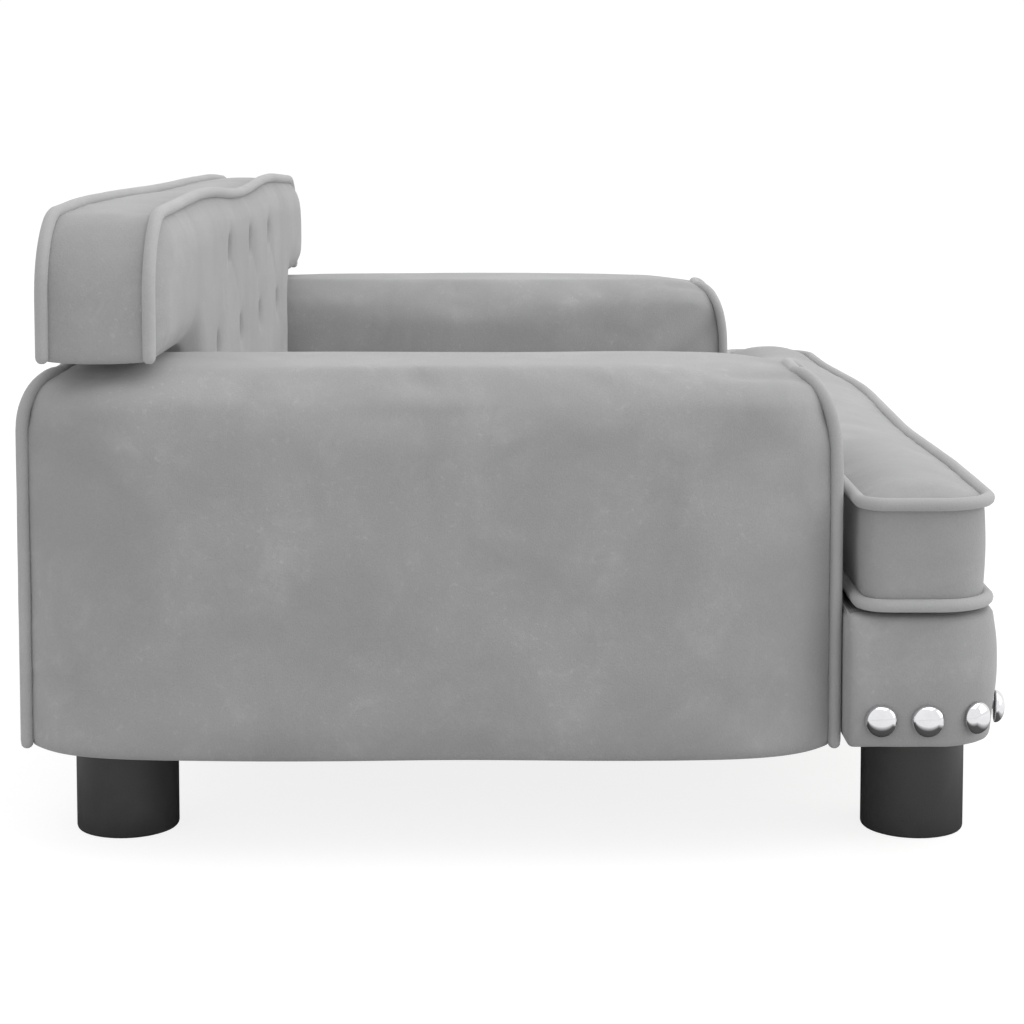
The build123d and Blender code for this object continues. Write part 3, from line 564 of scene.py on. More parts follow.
def tufted(places):
    """How far the buttons and the folds between them draw the front of the back in, at flat (x, z) places."""
    drawn = np.zeros(len(places))
    for x, z in tuft_places():
        reach = np.hypot(places[:, 0] - x, places[:, 1] - z)
        drawn += HOLLOW[0] * np.exp(-((reach / HOLLOW[1]) ** 2)) + DIP[0] / (1 + (reach / DIP[1]) ** 2)
    for start, end in tuft_pleats():
        start, end = np.array(start), np.array(end)
        run = end - start
        share = np.clip(((places - start) @ run) / (run @ run), 0, 1)
        near = start + share[:, None] * run
        off = np.linalg.norm(places - near, axis=1)
        depth = FOLD[0] * (0.20 + 0.80 * np.abs(2 * share - 1) ** 1.6)
        drawn += depth * np.exp(-off / FOLD[1])
    return drawn


def near_tufts(places):
    """The part of the back whose cloth is finer."""
    return (np.abs(places[:, 0]) < 0.180) & (places[:, 1] > 0.190) & (places[:, 1] < 0.284)


def edge_roll(depth, reach, rise):
    """Height of a padded panel over its seam: quick at first, flat past its reach."""
    return rise * (1 - (1 - np.clip(depth / reach, 0, 1)) ** 2.3)


def back_pad(name):
    """Cover of the back: a border from the front seam to the rear seam, a tufted face and a plain rear."""
    front, rear = back_outline(0.0062, False), back_outline(0.0062, True)
    normal = outward(front)

    def edge_at(share):
        out = 0.0018 * math.sin(math.pi * share) ** 0.5 - 0.0016
        return front * (1 - share) + rear * share + normal * out

    def line_at(share):
        return upright(edge_at(share), BACK_FRONT + (BACK_REAR - BACK_FRONT) * share)

    def front_place(flat, depth):
        return upright(flat, BACK_FRONT - edge_roll(depth, *FACE_ROLL))

    def rear_place(flat, depth):
        return upright(flat, BACK_REAR + edge_roll(depth, *REAR_ROLL))

    cover = Cover()
    rows = cover.border(line_at, [0.0, 0.03, 0.08, 0.16, 0.28, 0.42, 0.58, 0.72, 0.84, 0.92, 0.97, 1.0])
    before = len(cover.points)
    cover.panel(rows[0], edge_at(0.0), 0.0070, front_place, near_tufts)
    front_part = slice(before, len(cover.points))
    cover.panel(rows[-1], edge_at(1.0), 0.0100, rear_place)
    points = np.array(cover.points)
    held = list(cover.seam)
    for x, z in tuft_places():
        close = (np.hypot(points[:, 0] - x, points[:, 2] - z) < 0.008) & (points[:, 1] < 0.160)
        held.extend(np.nonzero(close)[0].tolist())

    def bound(places):
        x, y, z = places.T
        half = np.where(z < NECK_TOP, NECK_SPAN, np.where(z < BEND_TOP, BEND_SPAN, WING_SPAN))
        y = np.clip(y, np.where(z < BESIDE_CUSHION, BACK_FACE_LOW, BACK_FACE_HIGH), BACK_FACE_REAR)
        under = (np.abs(x) > WING_START) & (z < WING_FLOOR)
        z = np.clip(np.where(under, WING_FLOOR, z), *BACK_RANGE)
        return np.stack([np.clip(x, -half, half), y, z], 1)

    piece = piece_from(name, cover)
    cap = np.full(len(cover.points), BACK_CAP)
    cap[front_part] = FACE_CAP
    fill(piece, held, cap, bound)
    finer(piece)
    places = places_of(piece)
    on_face = np.clip((BACK_FRONT - 0.001 - places[:, 1]) / 0.004, 0, 1)
    places[:, 1] += tufted(places[:, [0, 2]]) * on_face
    put_places(piece, places)
    sewn(piece, cover.seam_lines(rows), 9.4)
    places = places_of(piece)
    places[:, 1] = np.maximum(places[:, 1], CUSHION_CLEAR)
    put_places(piece, places)
    return piece


def back_piping(name, y):
    """Piping up one end of the back, over its crest and down the other end."""
    outline = back_outline(PIPING_STEP, y == BACK_REAR)
    x, z = np.abs(outline[:, 0]), outline[:, 1]
    over = outline[(z > BACK_WING + 0.005) & ((x > BACK_NECK + 0.02) | (z > 0.280))]
    ends = [(BACK_HALF, BACK_WING + 0.0006), (BACK_HALF, BACK_WING + 0.0036)]
    flat = np.concatenate([ends, over, [(-x, z) for x, z in reversed(ends)]])
    return tube(name, upright(flat, y), (0, 1, 0), closed=False)


# Cushion
def cushion_corners():
    """Corners of the T shape. Its front edge is a wave."""
    half, neck, ear, rear, valley = CUSHION_HALF, CUSHION_NECK, CUSHION_EAR, CUSHION_REAR, CUSHION_VALLEY
    width, wave = 0.688, 0.008
    corners = [(-half, valley)]
    for place, height in ((-0.32, 0.25), (-0.14, 0.0), (0.16, 1.0), (0.36, 0.0)):
        corners.append((width * place, valley - wave * height))
    return corners + [(half, valley), (half, ear), (neck, ear), (neck, rear), (-neck, rear), (-neck, ear), (-half, ear)]


CUSHION_RADII = [0.026, 0.9, 0.9, 0.9, 0.9, 0.026] + [0.012] * 6


def cushion_outline(step):
    return rounded_outline(cushion_corners(), CUSHION_RADII, step)


def middle_dome(flat):
    """Extra height over the part of the cushion that lies between the arms, from 0 to 1."""
    half_width, middle, half_depth = 0.245, -0.030, 0.195
    across = np.clip(1 - (flat[:, 0] / half_width) ** 2, 0, 1)
    along = np.clip(1 - ((flat[:, 1] - middle) / half_depth) ** 2, 0, 1)
    return (across * along) ** 0.8


def cushion_pad(name):
    """Cover of the cushion: boxing between two seams, a domed top and a flatter bottom."""
    outline = cushion_outline(0.0075)
    normal = outward(outline)
    edge = outline - normal * 0.0018

    def line_at(share):
        out = 0.0010 * math.sin(math.pi * share) ** 0.45
        return level(edge + normal * out, CUSHION_LOW + (CUSHION_HIGH - CUSHION_LOW) * share)

    def top_place(flat, depth):
        return level(flat, CUSHION_HIGH + edge_roll(depth, *TOP_ROLL) + DOME_RISE * middle_dome(flat))

    def bottom_place(flat, depth):
        return level(flat, np.maximum(CUSHION_LOW - edge_roll(depth, *BOTTOM_ROLL), CUSHION_FLOOR))

    cover = Cover()
    rows = cover.border(line_at, [0.0, 0.04, 0.11, 0.22, 0.36, 0.5, 0.64, 0.78, 0.89, 0.96, 1.0])
    boxing = len(cover.points)
    cover.panel(rows[-1], edge, 0.0078, top_place)
    cover.panel(rows[0], edge, 0.0110, bottom_place)

    def bound(places):
        x, y, z = places.T
        x = np.where(y > NECK_START, np.clip(x, -CUSHION_SPAN, CUSHION_SPAN), x)
        y = np.where(np.abs(x) > EAR_START, np.minimum(y, EAR_REAR), np.clip(y, *CUSHION_RANGE))
        return np.stack([x, y, np.clip(z, CUSHION_FLOOR, CUSHION_CEILING)], 1)

    piece = piece_from(name, cover)
    cap = np.full(len(cover.points), CUSHION_CAP)
    cap[:boxing] = BOXING_CAP
    fill(piece, cover.seam, cap, bound)
    finer(piece)
    places = places_of(piece)
    places[:, 2] = np.maximum(places[:, 2], CUSHION_FLOOR)
    put_places(piece, places)
    return sewn(piece, cover.seam_lines(rows), 4.7, pucker=0.0006)


def cushion_piping(name, height):
    return tube(name, level(cushion_outline(PIPING_STEP), height), (0, 0, 1), closed=True)


# Seat base
def apron_outline(step):
    half, front, rear = APRON_HALF, APRON_FRONT, APRON_REAR
    corners = [(-half, front), (half, front), (half, rear), (-half, rear)]
    return rounded_outline(corners, [APRON_TURN, APRON_TURN, 0.004, 0.004], step)


def apron_bulge(height):
    """How far the padded apron stands out of its outline at a height."""
    share = (height - APRON_LOW) / (APRON_HIGH - APRON_LOW)
    return 0.0024 * (1 - np.abs(2 * share - 1) ** 2.2) - 0.0004


def nail_line():
    """Line that the nails follow along the three open sides of the apron, from the left rear round to the right."""
    half, turn = APRON_HALF, APRON_TURN
    angles = np.radians(np.arange(0, 91, 3))
    corner = np.stack([-half + turn * (1 - np.cos(angles)), APRON_FRONT + turn * (1 - np.sin(angles))], 1)
    return np.concatenate([[(-half, APRON_REAR)], corner, corner[::-1] * (-1, 1), [(half, APRON_REAR)]])


def apron_pad(name):
    """Cover of the apron: one closed profile of (height, inset at the sides, inset at the rear) all the way round."""
    outline = apron_outline(0.005)
    normal = outward(outline)
    side_way = normal.copy()
    side_way[:, 1] = np.minimum(side_way[:, 1], 0)
    rear_way = np.stack([np.zeros(len(normal)), np.maximum(normal[:, 1], 0)], 1)
    profile = [(0.0509, 0.0120, 0.004), (0.0508, 0.0058, 0.0030), (0.0510, 0.0025, 0.0014), (0.0524, 0.0007, 0.0005)]
    profile += [(0.0560, 0.0, 0.0)]
    profile += [(z, None, 0.0) for z in np.arange(0.0610, 0.1030, 0.0042)]
    profile += [(0.1060, 0.0000, 0.0), (0.1094, 0.0004, 0.0), (0.1112, 0.0015, 0.0005), (0.1120, 0.0036, 0.0010)]
    profile += [(0.1122, 0.0070, 0.0012), (0.1121, 0.0125, 0.0014), (0.1100, 0.0140, 0.0040)]
    cover, rows = Cover(), []
    for height, inset, rear in profile:
        out = apron_bulge(height) if inset is None else -inset
        flat = outline + side_way * out - rear_way * rear
        rows.append(cover.row(level(flat, height)))
    cover.join(rows + rows[:1])
    piece = piece_from(name, cover)
    finer(piece)
    places, normals = places_of(piece), normals_of(piece)
    tree = tree_of([place for place, _ in nail_places()])
    dimple_depth, dimple_reach = 0.0012, 0.0105
    for i, place in enumerate(places):
        _, _, distance = tree.find(Vector(place))
        dimple = dimple_depth * math.exp(-((distance / dimple_reach) ** 2))
        uneven = 0.0005 * noise.noise(Vector(place) * 17 + Vector((5.0, 2.0, 8.0)))
        places[i] += normals[i] * (uneven * (0.0515 < place[2] < 0.1100) - dimple)
    put_places(piece, places)
    return piece


def nail_places():
    """The spot under each nail head and the way it faces: three on each side and the rest evenly along the front."""
    line = nail_line()
    run = np.concatenate([[0], np.cumsum(np.linalg.norm(np.diff(line, axis=0), axis=1))])
    beside, first = [0.0150, 0.0362, 0.0600], 0.0840
    along = beside + list(np.linspace(first, run[-1] - first, NAIL_COUNT - 6)) + [run[-1] - s for s in beside[::-1]]
    out = float(apron_bulge(NAIL_HEIGHT)) - 0.0002
    places = []
    for at in along:
        before, (x, y), after = ([np.interp(at + d, run, line[:, k]) for k in (0, 1)] for d in (-0.001, 0, 0.001))
        dx, dy = after[0] - before[0], after[1] - before[1]
        length = math.hypot(dx, dy)
        across, ahead = dy / length, -dx / length
        places.append(((x + across * out, y + ahead * out, NAIL_HEIGHT), (across, ahead, 0.0)))
    return places


def turned(name, profile, sides):
    """A round piece from its half profile of (radius, height), with closed ends."""
    angles = 2 * math.pi * np.arange(sides) / sides
    circle, cover = np.stack([np.cos(angles), np.sin(angles)], 1), Cover()
    rows = [cover.row(level(radius * circle, height)) for radius, height in profile]
    cover.join(rows)
    cover.close(rows)
    return piece_from(name, cover)


# Node trees, made in short calls
class Graph:
    """The nodes of one tree. A socket is given another socket or the value that it holds."""

    def __init__(self, tree):
        self.nodes, self.links = tree.nodes, tree.links

    def give(self, socket, value):
        if isinstance(value, bpy.types.NodeSocket):
            self.links.new(value, socket)
        else:
            socket.default_value = value

    def node(self, kind, inputs=(), **settings):
        """A new node with its settings and what its inputs are given, by their name or number."""
        node = self.nodes.new(kind)
        for label, value in settings.items():
            setattr(node, label, value)
        for key, value in dict(inputs).items():
            self.give(node.inputs[key], value)
        return node

    def math(self, operation, *values):
        return self.node("ShaderNodeMath", enumerate(values), operation=operation).outputs[0]

    def weighed(self, first, *others):
        """Sum of (value, share) pairs, each value times its share."""
        total = self.math("MULTIPLY", *first)
        for value, share in others:
            total = self.math("MULTIPLY_ADD", value, share, total)
        return total

    def place(self):
        return self.node("ShaderNodeTexCoord").outputs["Object"]

    def noise(self, place, scale, detail=3.0, roughness=0.55, distortion=0.0):
        inputs = {"Vector": place, "Scale": scale, "Detail": detail, "Roughness": roughness, "Distortion": distortion}
        return self.node("ShaderNodeTexNoise", inputs).outputs["Fac"]

    def stretch(self, value, low, high):
        """Maps a value from low..high to 0..1 and holds it there."""
        inputs = {"Value": value, "From Min": low, "From Max": high}
        return self.node("ShaderNodeMapRange", inputs).outputs["Result"]


# Geometry Nodes: one tree sets a pattern piece on every marked point
def setting_tree(name, material):
    """Sets the pattern on each point along the point's own facing attribute, with a small random tilt and size."""
    tree = bpy.data.node_groups.new(name, "GeometryNodeTree")
    tree.interface.new_socket("Geometry", in_out="INPUT", socket_type="NodeSocketGeometry")
    for label, kind, value in (
        ("Pattern", "NodeSocketObject", None),
        ("Tilt", "NodeSocketFloat", 0.03),
        ("Size change", "NodeSocketFloat", 0.02),
        ("Seed", "NodeSocketInt", 7),
    ):
        tree.interface.new_socket(label, in_out="INPUT", socket_type=kind).default_value = value
    tree.interface.new_socket("Geometry", in_out="OUTPUT", socket_type="NodeSocketGeometry")
    graph = Graph(tree)
    given = graph.node("NodeGroupInput").outputs
    facing = graph.node("GeometryNodeInputNamedAttribute", {"Name": "facing"}, data_type="FLOAT_VECTOR")
    align = graph.node("FunctionNodeAlignRotationToVector", {"Vector": facing.outputs["Attribute"]}, axis="Z")
    tilts = {"Min": graph.math("MULTIPLY", given["Tilt"], -1), "Max": given["Tilt"], "Seed": given["Seed"]}
    tilt = graph.node("FunctionNodeRandomValue", tilts, data_type="FLOAT_VECTOR")
    tipped = graph.node("FunctionNodeEulerToRotation", {"Euler": tilt.outputs["Value"]})
    turns = {"Rotation": align.outputs["Rotation"], "Rotate By": tipped.outputs["Rotation"]}
    turn = graph.node("FunctionNodeRotateRotation", turns, rotation_space="LOCAL")
    sizes = {2: graph.math("SUBTRACT", 1, given["Size change"]), 3: 1, "Seed": given["Seed"]}
    size = graph.node("FunctionNodeRandomValue", sizes, data_type="FLOAT")
    pattern = graph.node("GeometryNodeObjectInfo", {"Object": given["Pattern"]})
    settings = {"Points": given["Geometry"], "Instance": pattern.outputs["Geometry"]}
    settings |= {"Rotation": turn.outputs["Rotation"], "Scale": size.outputs[1]}
    setting = graph.node("GeometryNodeInstanceOnPoints", settings)
    real = graph.node("GeometryNodeRealizeInstances", {"Geometry": setting.outputs["Instances"]})
    finish = graph.node("GeometryNodeSetMaterial", {"Geometry": real.outputs["Geometry"], "Material": material})
    graph.node("NodeGroupOutput", {"Geometry": finish.outputs["Geometry"]})
    return tree


def set_on_points(name, places, pattern, material, tilt=0.0, change=0.0, seed=7):
    """A plain mesh of the pattern set on every (place, facing). The pattern itself is used up."""
    mesh = bpy.data.meshes.new(name)
    mesh.from_pydata([p for p, _ in places], [], [])
    facing = mesh.attributes.new("facing", "FLOAT_VECTOR", "POINT")
    facing.data.foreach_set("vector", np.array([f for _, f in places], float).ravel())
    piece = linked(name, mesh)
    tree = setting_tree(name + " setting", material)
    modifier = piece.modifiers.new("setting", "NODES")
    modifier.node_group = tree
    values = {"Pattern": pattern, "Tilt": tilt, "Size change": change, "Seed": seed}
    for socket in tree.interface.items_tree:
        if socket.item_type == "SOCKET" and socket.name in values:
            modifier[socket.identifier] = values[socket.name]
    settled(piece)
    piece.data.polygons.foreach_set("use_smooth", [True] * len(piece.data.polygons))
    bpy.data.objects.remove(pattern)
    return piece


# Shader groups shared by the materials
def shader_group(name, inputs, outputs):
    """An empty group of number sockets, its graph, what it is given and where its results go."""
    group = bpy.data.node_groups.new(name, "ShaderNodeTree")
    for label, value in inputs.items():
        group.interface.new_socket(label, in_out="INPUT", socket_type="NodeSocketFloat").default_value = value
    for label in outputs:
        group.interface.new_socket(label, in_out="OUTPUT", socket_type="NodeSocketFloat")
    graph = Graph(group)
    return group, graph, graph.node("NodeGroupInput").outputs, graph.node("NodeGroupOutput").inputs


def pile_group():
    """Short pile: brushed patches, light flecks and the fine grain of the fibres."""
    settings = {"Patch size": 0.06, "Patches": 1.0, "Flecks": 1.0, "Grain": 1.0}
    group, graph, given, result = shader_group("Pile", settings, ["Tone", "Height", "Roughness"])
    place = graph.place()
    patches = graph.noise(place, graph.math("DIVIDE", 1.0, given["Patch size"]), 4.0, roughness=0.62, distortion=0.35)
    patches = graph.stretch(patches, 0.36, 0.68)
    smears = graph.stretch(graph.noise(place, 42.0, 5.0, roughness=0.7, distortion=0.8), 0.52, 0.74)
    flecks = graph.stretch(graph.noise(place, 330.0, 2.0), 0.60, 0.74)
    cloudy = graph.math("MULTIPLY", patches, given["Patches"])
    smeared = graph.math("MULTIPLY", graph.math("MULTIPLY", smears, patches), given["Patches"])
    flecked = graph.math("MULTIPLY", graph.math("MULTIPLY", flecks, given["Flecks"]), patches)
    grainy = graph.math("MULTIPLY", graph.noise(place, 1250.0, 2.0), given["Grain"])
    graph.give(result["Tone"], graph.weighed((cloudy, 0.26), (smeared, 0.32), (flecked, 0.28), (grainy, 0.34)))
    graph.give(result["Height"], graph.math("MULTIPLY_ADD", flecked, 0.35, grainy))
    graph.give(result["Roughness"], graph.math("MULTIPLY_ADD", patches, 0.10, 0.74))
    return group


def weave_group():
    """Plain weave of warp and weft, for the lining, the deck cloth and the zip tape."""
    settings = {"Threads per metre": 1400.0, "Unevenness": 0.3}
    group, graph, given, result = shader_group("Weave", settings, ["Tone", "Height"])
    place = graph.place()
    scale = graph.math("MULTIPLY", given["Threads per metre"], 0.16)
    threads = {"Vector": place, "Scale": scale, "Distortion": 0.6}
    heights = [graph.node("ShaderNodeTexWave", threads, bands_direction=way).outputs["Fac"] for way in ("X", "Y")]
    woven = graph.math("MAXIMUM", *heights)
    uneven = graph.math("MULTIPLY", graph.noise(place, 90.0), given["Unevenness"])
    graph.give(result["Tone"], graph.math("MULTIPLY_ADD", woven, 0.55, uneven))
    graph.give(result["Height"], woven)
    return group


def grain_group():
    """Growth rings and fibres of sawn wood, along one way."""
    settings = {"Ring pitch": 0.009, "Fibres": 1.0}
    group, graph, given, result = shader_group("Wood grain", settings, ["Tone", "Height"])
    drawn_out = {"Vector": graph.place(), "Scale": (0.12, 1.0, 1.0)}
    place = graph.node("ShaderNodeMapping", drawn_out).outputs["Vector"]
    inputs = {"Vector": place, "Scale": graph.math("DIVIDE", 0.3, given["Ring pitch"])}
    inputs |= {"Distortion": 4.0, "Detail": 3.0, "Detail Scale": 2.0}
    rings = graph.node("ShaderNodeTexWave", inputs, wave_type="RINGS", rings_direction="X").outputs["Fac"]
    fibres = graph.math("MULTIPLY", graph.noise(place, 700.0, 4.0, 0.7), given["Fibres"])
    graph.give(result["Tone"], graph.weighed((fibres, 0.4), (rings, 0.6)))
    graph.give(result["Height"], fibres)
    return group


def scuff_group():
    """Faint handling marks: fine grain and a few wide dull patches."""
    settings = {"Grain scale": 900.0, "Dullness": 0.1}
    group, graph, given, result = shader_group("Scuffs", settings, ["Tone", "Height", "Dull"])
    place = graph.place()
    fine = graph.noise(place, given["Grain scale"], 2.0)
    wide = graph.stretch(graph.noise(place, 60.0, 4.0, 0.65), 0.45, 0.75)
    graph.give(result["Tone"], graph.weighed((wide, 0.5), (fine, 0.5)))
    graph.give(result["Height"], fine)
    graph.give(result["Dull"], graph.math("MULTIPLY", wide, given["Dullness"]))
    return group


GROUPS = {"pile": pile_group(), "weave": weave_group(), "grain": grain_group(), "scuffs": scuff_group()}


def tint(values):
    """Linear colour of a screen colour given as three values from 0 to 255."""
    shares = [value / 255 for value in values]
    return tuple(s / 12.92 if s <= 0.04045 else ((s + 0.055) / 1.055) ** 2.4 for s in shares) + (1.0,)


def finish_of(name, effect, dark, light, settings=(), bump=0.0, roughness=0.6, constants=()):
    """A material whose colour, roughness and bump come from a shared effect."""
    material = bpy.data.materials.new(name)
    material.use_nodes = True
    graph = Graph(material.node_tree)
    shader = graph.nodes["Principled BSDF"].inputs
    made = graph.node("ShaderNodeGroup", settings, node_tree=GROUPS[effect]).outputs
    mix = graph.node("ShaderNodeMix", {0: made["Tone"], 6: tint(dark), 7: tint(light)}, data_type="RGBA")
    graph.give(shader["Base Color"], mix.outputs[2])
    if "Roughness" in made:
        roughness = made["Roughness"]
    elif "Dull" in made:
        roughness = graph.math("ADD", made["Dull"], roughness)
    graph.give(shader["Roughness"], roughness)
    if bump:
        inputs = {"Strength": bump, "Distance": BUMP_REACH, "Height": made["Height"]}
        graph.give(shader["Normal"], graph.node("ShaderNodeBump", inputs).outputs["Normal"])
    for label, value in dict(constants).items():
        graph.give(shader[label], value)
    return material


SHEEN = {"Sheen Weight": 0.30, "Sheen Roughness": 0.45, "Specular IOR Level": 0.20}
METAL = {"Metallic": 1.0}
SMOOTHER = {"Patches": 0.6, "Flecks": 0.5}
POLISHED = {"Grain scale": 700.0, "Dullness": 0.06}
VELVET = finish_of("velvet", "pile", (151, 151, 152), (189, 189, 190), bump=0.35, constants=SHEEN)
# The piping's velvet is a lighter copy of the same velvet: painted sheen, standing in for the light that the piping's
# round crests catch.
PIPING_VELVET_PAINTED_SHEEN = finish_of("piping velvet", "pile", (166, 166, 167), (205, 205, 206), SMOOTHER, 0.30, constants=SHEEN)
FOOT = finish_of("foot plastic", "scuffs", (62, 62, 63), (73, 73, 74), {"Grain scale": 1500.0}, 0.15, 0.42)
CHROME = finish_of("nail chrome", "scuffs", (222, 222, 224), (240, 240, 242), POLISHED, 0.0, 0.05, METAL)
STEEL = finish_of("zinc steel", "scuffs", (150, 152, 155), (186, 188, 190), {"Grain scale": 500.0}, 0.1, 0.34, METAL)
PINE = finish_of("pine", "grain", (196, 158, 112), (226, 196, 150), {"Ring pitch": 0.008}, 0.25, 0.62)
PLYWOOD = finish_of("plywood", "grain", (190, 160, 118), (216, 188, 146), {"Ring pitch": 0.016}, 0.2, 0.6)
FOAM = finish_of("foam", "scuffs", (214, 206, 178), (236, 229, 204), {"Grain scale": 620.0}, 0.8, 0.95)
LINING = finish_of("lining cloth", "weave", (34, 34, 36), (58, 58, 60), {"Threads per metre": 1100.0}, 0.4, 0.9)
DECK = finish_of("deck cloth", "weave", (120, 120, 121), (166, 166, 167), {"Threads per metre": 1500.0}, 0.4, 0.85)
TAPE = finish_of("zip tape", "weave", (118, 118, 120), (150, 150, 152), {"Threads per metre": 1800.0}, 0.4, 0.8)
ZIP = finish_of("zip nylon", "scuffs", (120, 120, 122), (150, 150, 152), {"Grain scale": 1200.0}, 0.1, 0.4)


# Small parts of the sofa
def button_pattern():
    """A covered button: a low velvet dome with a tucked edge."""
    profile = [(0.0035, 0.0), (0.0052, 0.0003), (0.0060, 0.0012), (0.0058, 0.0021), (0.0047, 0.0029)]
    return turned("button pattern", profile + [(0.0028, 0.0034), (0.0008, 0.0035)], 16)


def nail_pattern():
    """A domed nail head with a thin turned-in rim."""
    profile = [(0.0066, -0.0003), (0.0074, 0.0000), (0.0075, 0.0006)]
    for angle in range(8, 90, 8):
        a = math.radians(angle)
        profile.append((NAIL_RADIUS * math.cos(a) ** 0.9, 0.0004 + (NAIL_RISE - 0.0004) * math.sin(a)))
    return turned("nail pattern", profile + [(0.0002, NAIL_RISE)], 32)


def foot(name, x, y):
    """A turned plastic foot with a small rounded edge at the floor and a step under the seat."""
    profile = [(0.0228, 0.0), (0.0236, 0.0003), (0.0240, 0.0008)]
    profile += [(FOOT_RADIUS, z) for z in (0.0016, 0.010, 0.026, 0.042, 0.0500)]
    profile += [(0.0240, 0.0512), (0.0234, FOOT_HEIGHT)]
    piece = turned(name, profile, 56)
    put_places(piece, places_of(piece) + (x, y, 0))
    return piece


def sheet_between(name, outline, height, thickness, wave=0.0):
    """A thin sheet stretched over a flat outline, with the small waves that the staples leave."""
    cover = Cover()
    row = cover.row(level(outline, height))

    def place(flat, depth):
        waves = np.array([noise.noise(Vector((x * 22, y * 22, 4.0))) for x, y in flat])
        return level(flat, height + wave * waves * np.clip(depth / 0.03, 0, 1))

    cover.panel(row, outline, 0.012, place)
    piece = piece_from(name, cover)
    wall = piece.modifiers.new("thickness", "SOLIDIFY")
    wall.thickness = thickness
    wall.offset = 0
    return settled(piece)


def box_piece(name, low, high, round_edge):
    """A small block with rounded edges."""
    shape = bmesh.new()
    bmesh.ops.create_cube(shape, size=1)
    low, high = Vector(low), Vector(high)
    for vertex in shape.verts:
        vertex.co = Vector([low[i] + (vertex.co[i] + 0.5) * (high[i] - low[i]) for i in range(3)])
    bmesh.ops.bevel(shape, geom=shape.edges[:], offset=round_edge, segments=2, affect="EDGES", profile=0.7)
    mesh = bpy.data.meshes.new(name)
    shape.to_mesh(mesh)
    shape.free()
    return linked(name, mesh)


def painted(piece, material, body, replaced=()):
    """Gives a piece its finish and the body that it rides on, and hides the frame parts that it replaces."""
    piece.data.materials.clear()
    piece.data.materials.append(material)
    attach(piece, body)
    if replaced:
        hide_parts(*replaced)
    return piece


# The sofa itself
for side, word in ((-1, "left"), (1, "right")):
    arm = arm_pad(side, f"arm_{word}_pad")
    painted(arm, VELVET, "frame", [f"arm_{word}_cover", f"arm_{word}_foam"])
    for end in ("front", "rear"):
        welt = arm_piping(side, end == "front", f"arm_{word}_welt_{end}")
        painted(welt, PIPING_VELVET_PAINTED_SHEEN, "frame", [f"arm_{word}_piping_{end}"])

back = painted(back_pad("back_pad"), VELVET, "frame", ["back_cover", "back_foam"])
for end, y in (("front", BACK_FRONT), ("rear", BACK_REAR)):
    painted(back_piping(f"back_welt_{end}", y), PIPING_VELVET_PAINTED_SHEEN, "frame", [f"back_piping_{end}"])

cushion = painted(cushion_pad("seat_cushion"), VELVET, "cushion", ["cushion_cover", "cushion_foam"])
for end, height in (("bottom", CUSHION_LOW), ("top", CUSHION_HIGH)):
    welt = cushion_piping(f"cushion_welt_{end}", height)
    painted(welt, PIPING_VELVET_PAINTED_SHEEN, "cushion", [f"cushion_piping_{end}"])

apron = painted(apron_pad("apron_pad"), VELVET, "frame", ["apron_cover", "apron_padding"])

nails = set_on_points("nail_row", nail_places(), nail_pattern(), CHROME, tilt=0.035, seed=11)
painted(nails, CHROME, "frame", ["nail_heads"])
buttons = [((x, TUFT_FLOOR, z), (0.0, -1.0, 0.0)) for x, z in tuft_places()]
tufts = set_on_points("back_buttons", buttons, button_pattern(), VELVET, tilt=0.05, change=0.03, seed=5)
painted(tufts, VELVET, "frame", ["tuft_buttons"])

for end, y in (("front", FOOT_FRONT), ("rear", FOOT_REAR)):
    for side, word in ((-1, "left"), (1, "right")):
        leg = foot(f"foot_{end}_{word}_turned", side * FOOT_ACROSS, y)
        painted(leg, FOOT, "frame", [f"foot_{end}_{word}"])

low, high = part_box("dust_cover")
dust_corners = [(low.x, low.y), (high.x, low.y), (high.x, high.y), (low.x, high.y)]
dust_outline = rounded_outline(dust_corners, [0.003] * 4, 0.010)
dust = sheet_between("dust_sheet", dust_outline, DUST_HEIGHT, DUST_THICKNESS, DUST_WAVE)
painted(dust, LINING, "frame", ["dust_cover"])

low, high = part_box("deck_cloth")
neck, start = DECK_NECK, DECK_NECK_START
low.x, high.x = low.x + DECK_TRIM, high.x - DECK_TRIM
deck_corners = [(low.x, low.y), (high.x, low.y), (high.x, start), (neck, start), (neck, high.y)]
deck_corners += [(-neck, high.y), (-neck, start), (low.x, start)]
deck_outline = rounded_outline(deck_corners, [0.014, 0.014] + [0.003] * 6, 0.010)
deck = sheet_between("deck_sheet", deck_outline, DECK_HEIGHT, DECK_THICKNESS)
painted(deck, DECK, "frame", ["deck_cloth"])


def zip_line():
    """Tape, teeth, slider and pull of the zip in the rear of the cushion."""
    low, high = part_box("cushion_zipper")
    middle, seat = (CUSHION_LOW + CUSHION_HIGH) / 2, low.y
    half, pitch, face = 0.150, 0.0024, seat + 0.0009

    def strip(name, start, end, near, far, half_height, round_edge):
        low, high = (start, seat + near, middle - half_height), (end, seat + far, middle + half_height)
        return box_piece(name, low, high, round_edge)

    tape = strip("zip_tape", -half, half, 0.0, 0.0009, 0.012, 0.0003)
    teeth = []
    for i in range(int(0.292 / pitch)):
        teeth.append(((-0.146 + i * pitch, face, middle + (0.0011 if i % 2 else -0.0011)), (0.0, 1.0, 0.0)))
    tooth = box_piece("tooth pattern", (-0.0007, -0.0016, -0.0002), (0.0007, 0.0016, 0.0008), 0.0003)
    chain = set_on_points("zip_teeth", teeth, tooth, ZIP)
    slider = strip("zip_slider", 0.122, 0.136, 0.0010, 0.0032, 0.0045, 0.001)
    pull = strip("zip_pull", 0.106, 0.1235, 0.0018, 0.0030, 0.0026, 0.0005)
    return [(tape, TAPE), (chain, ZIP), (slider, ZIP), (pull, ZIP)]


for i, (piece, material) in enumerate(zip_line()):
    painted(piece, material, "cushion", ["cushion_zipper"] if i == 0 else ())

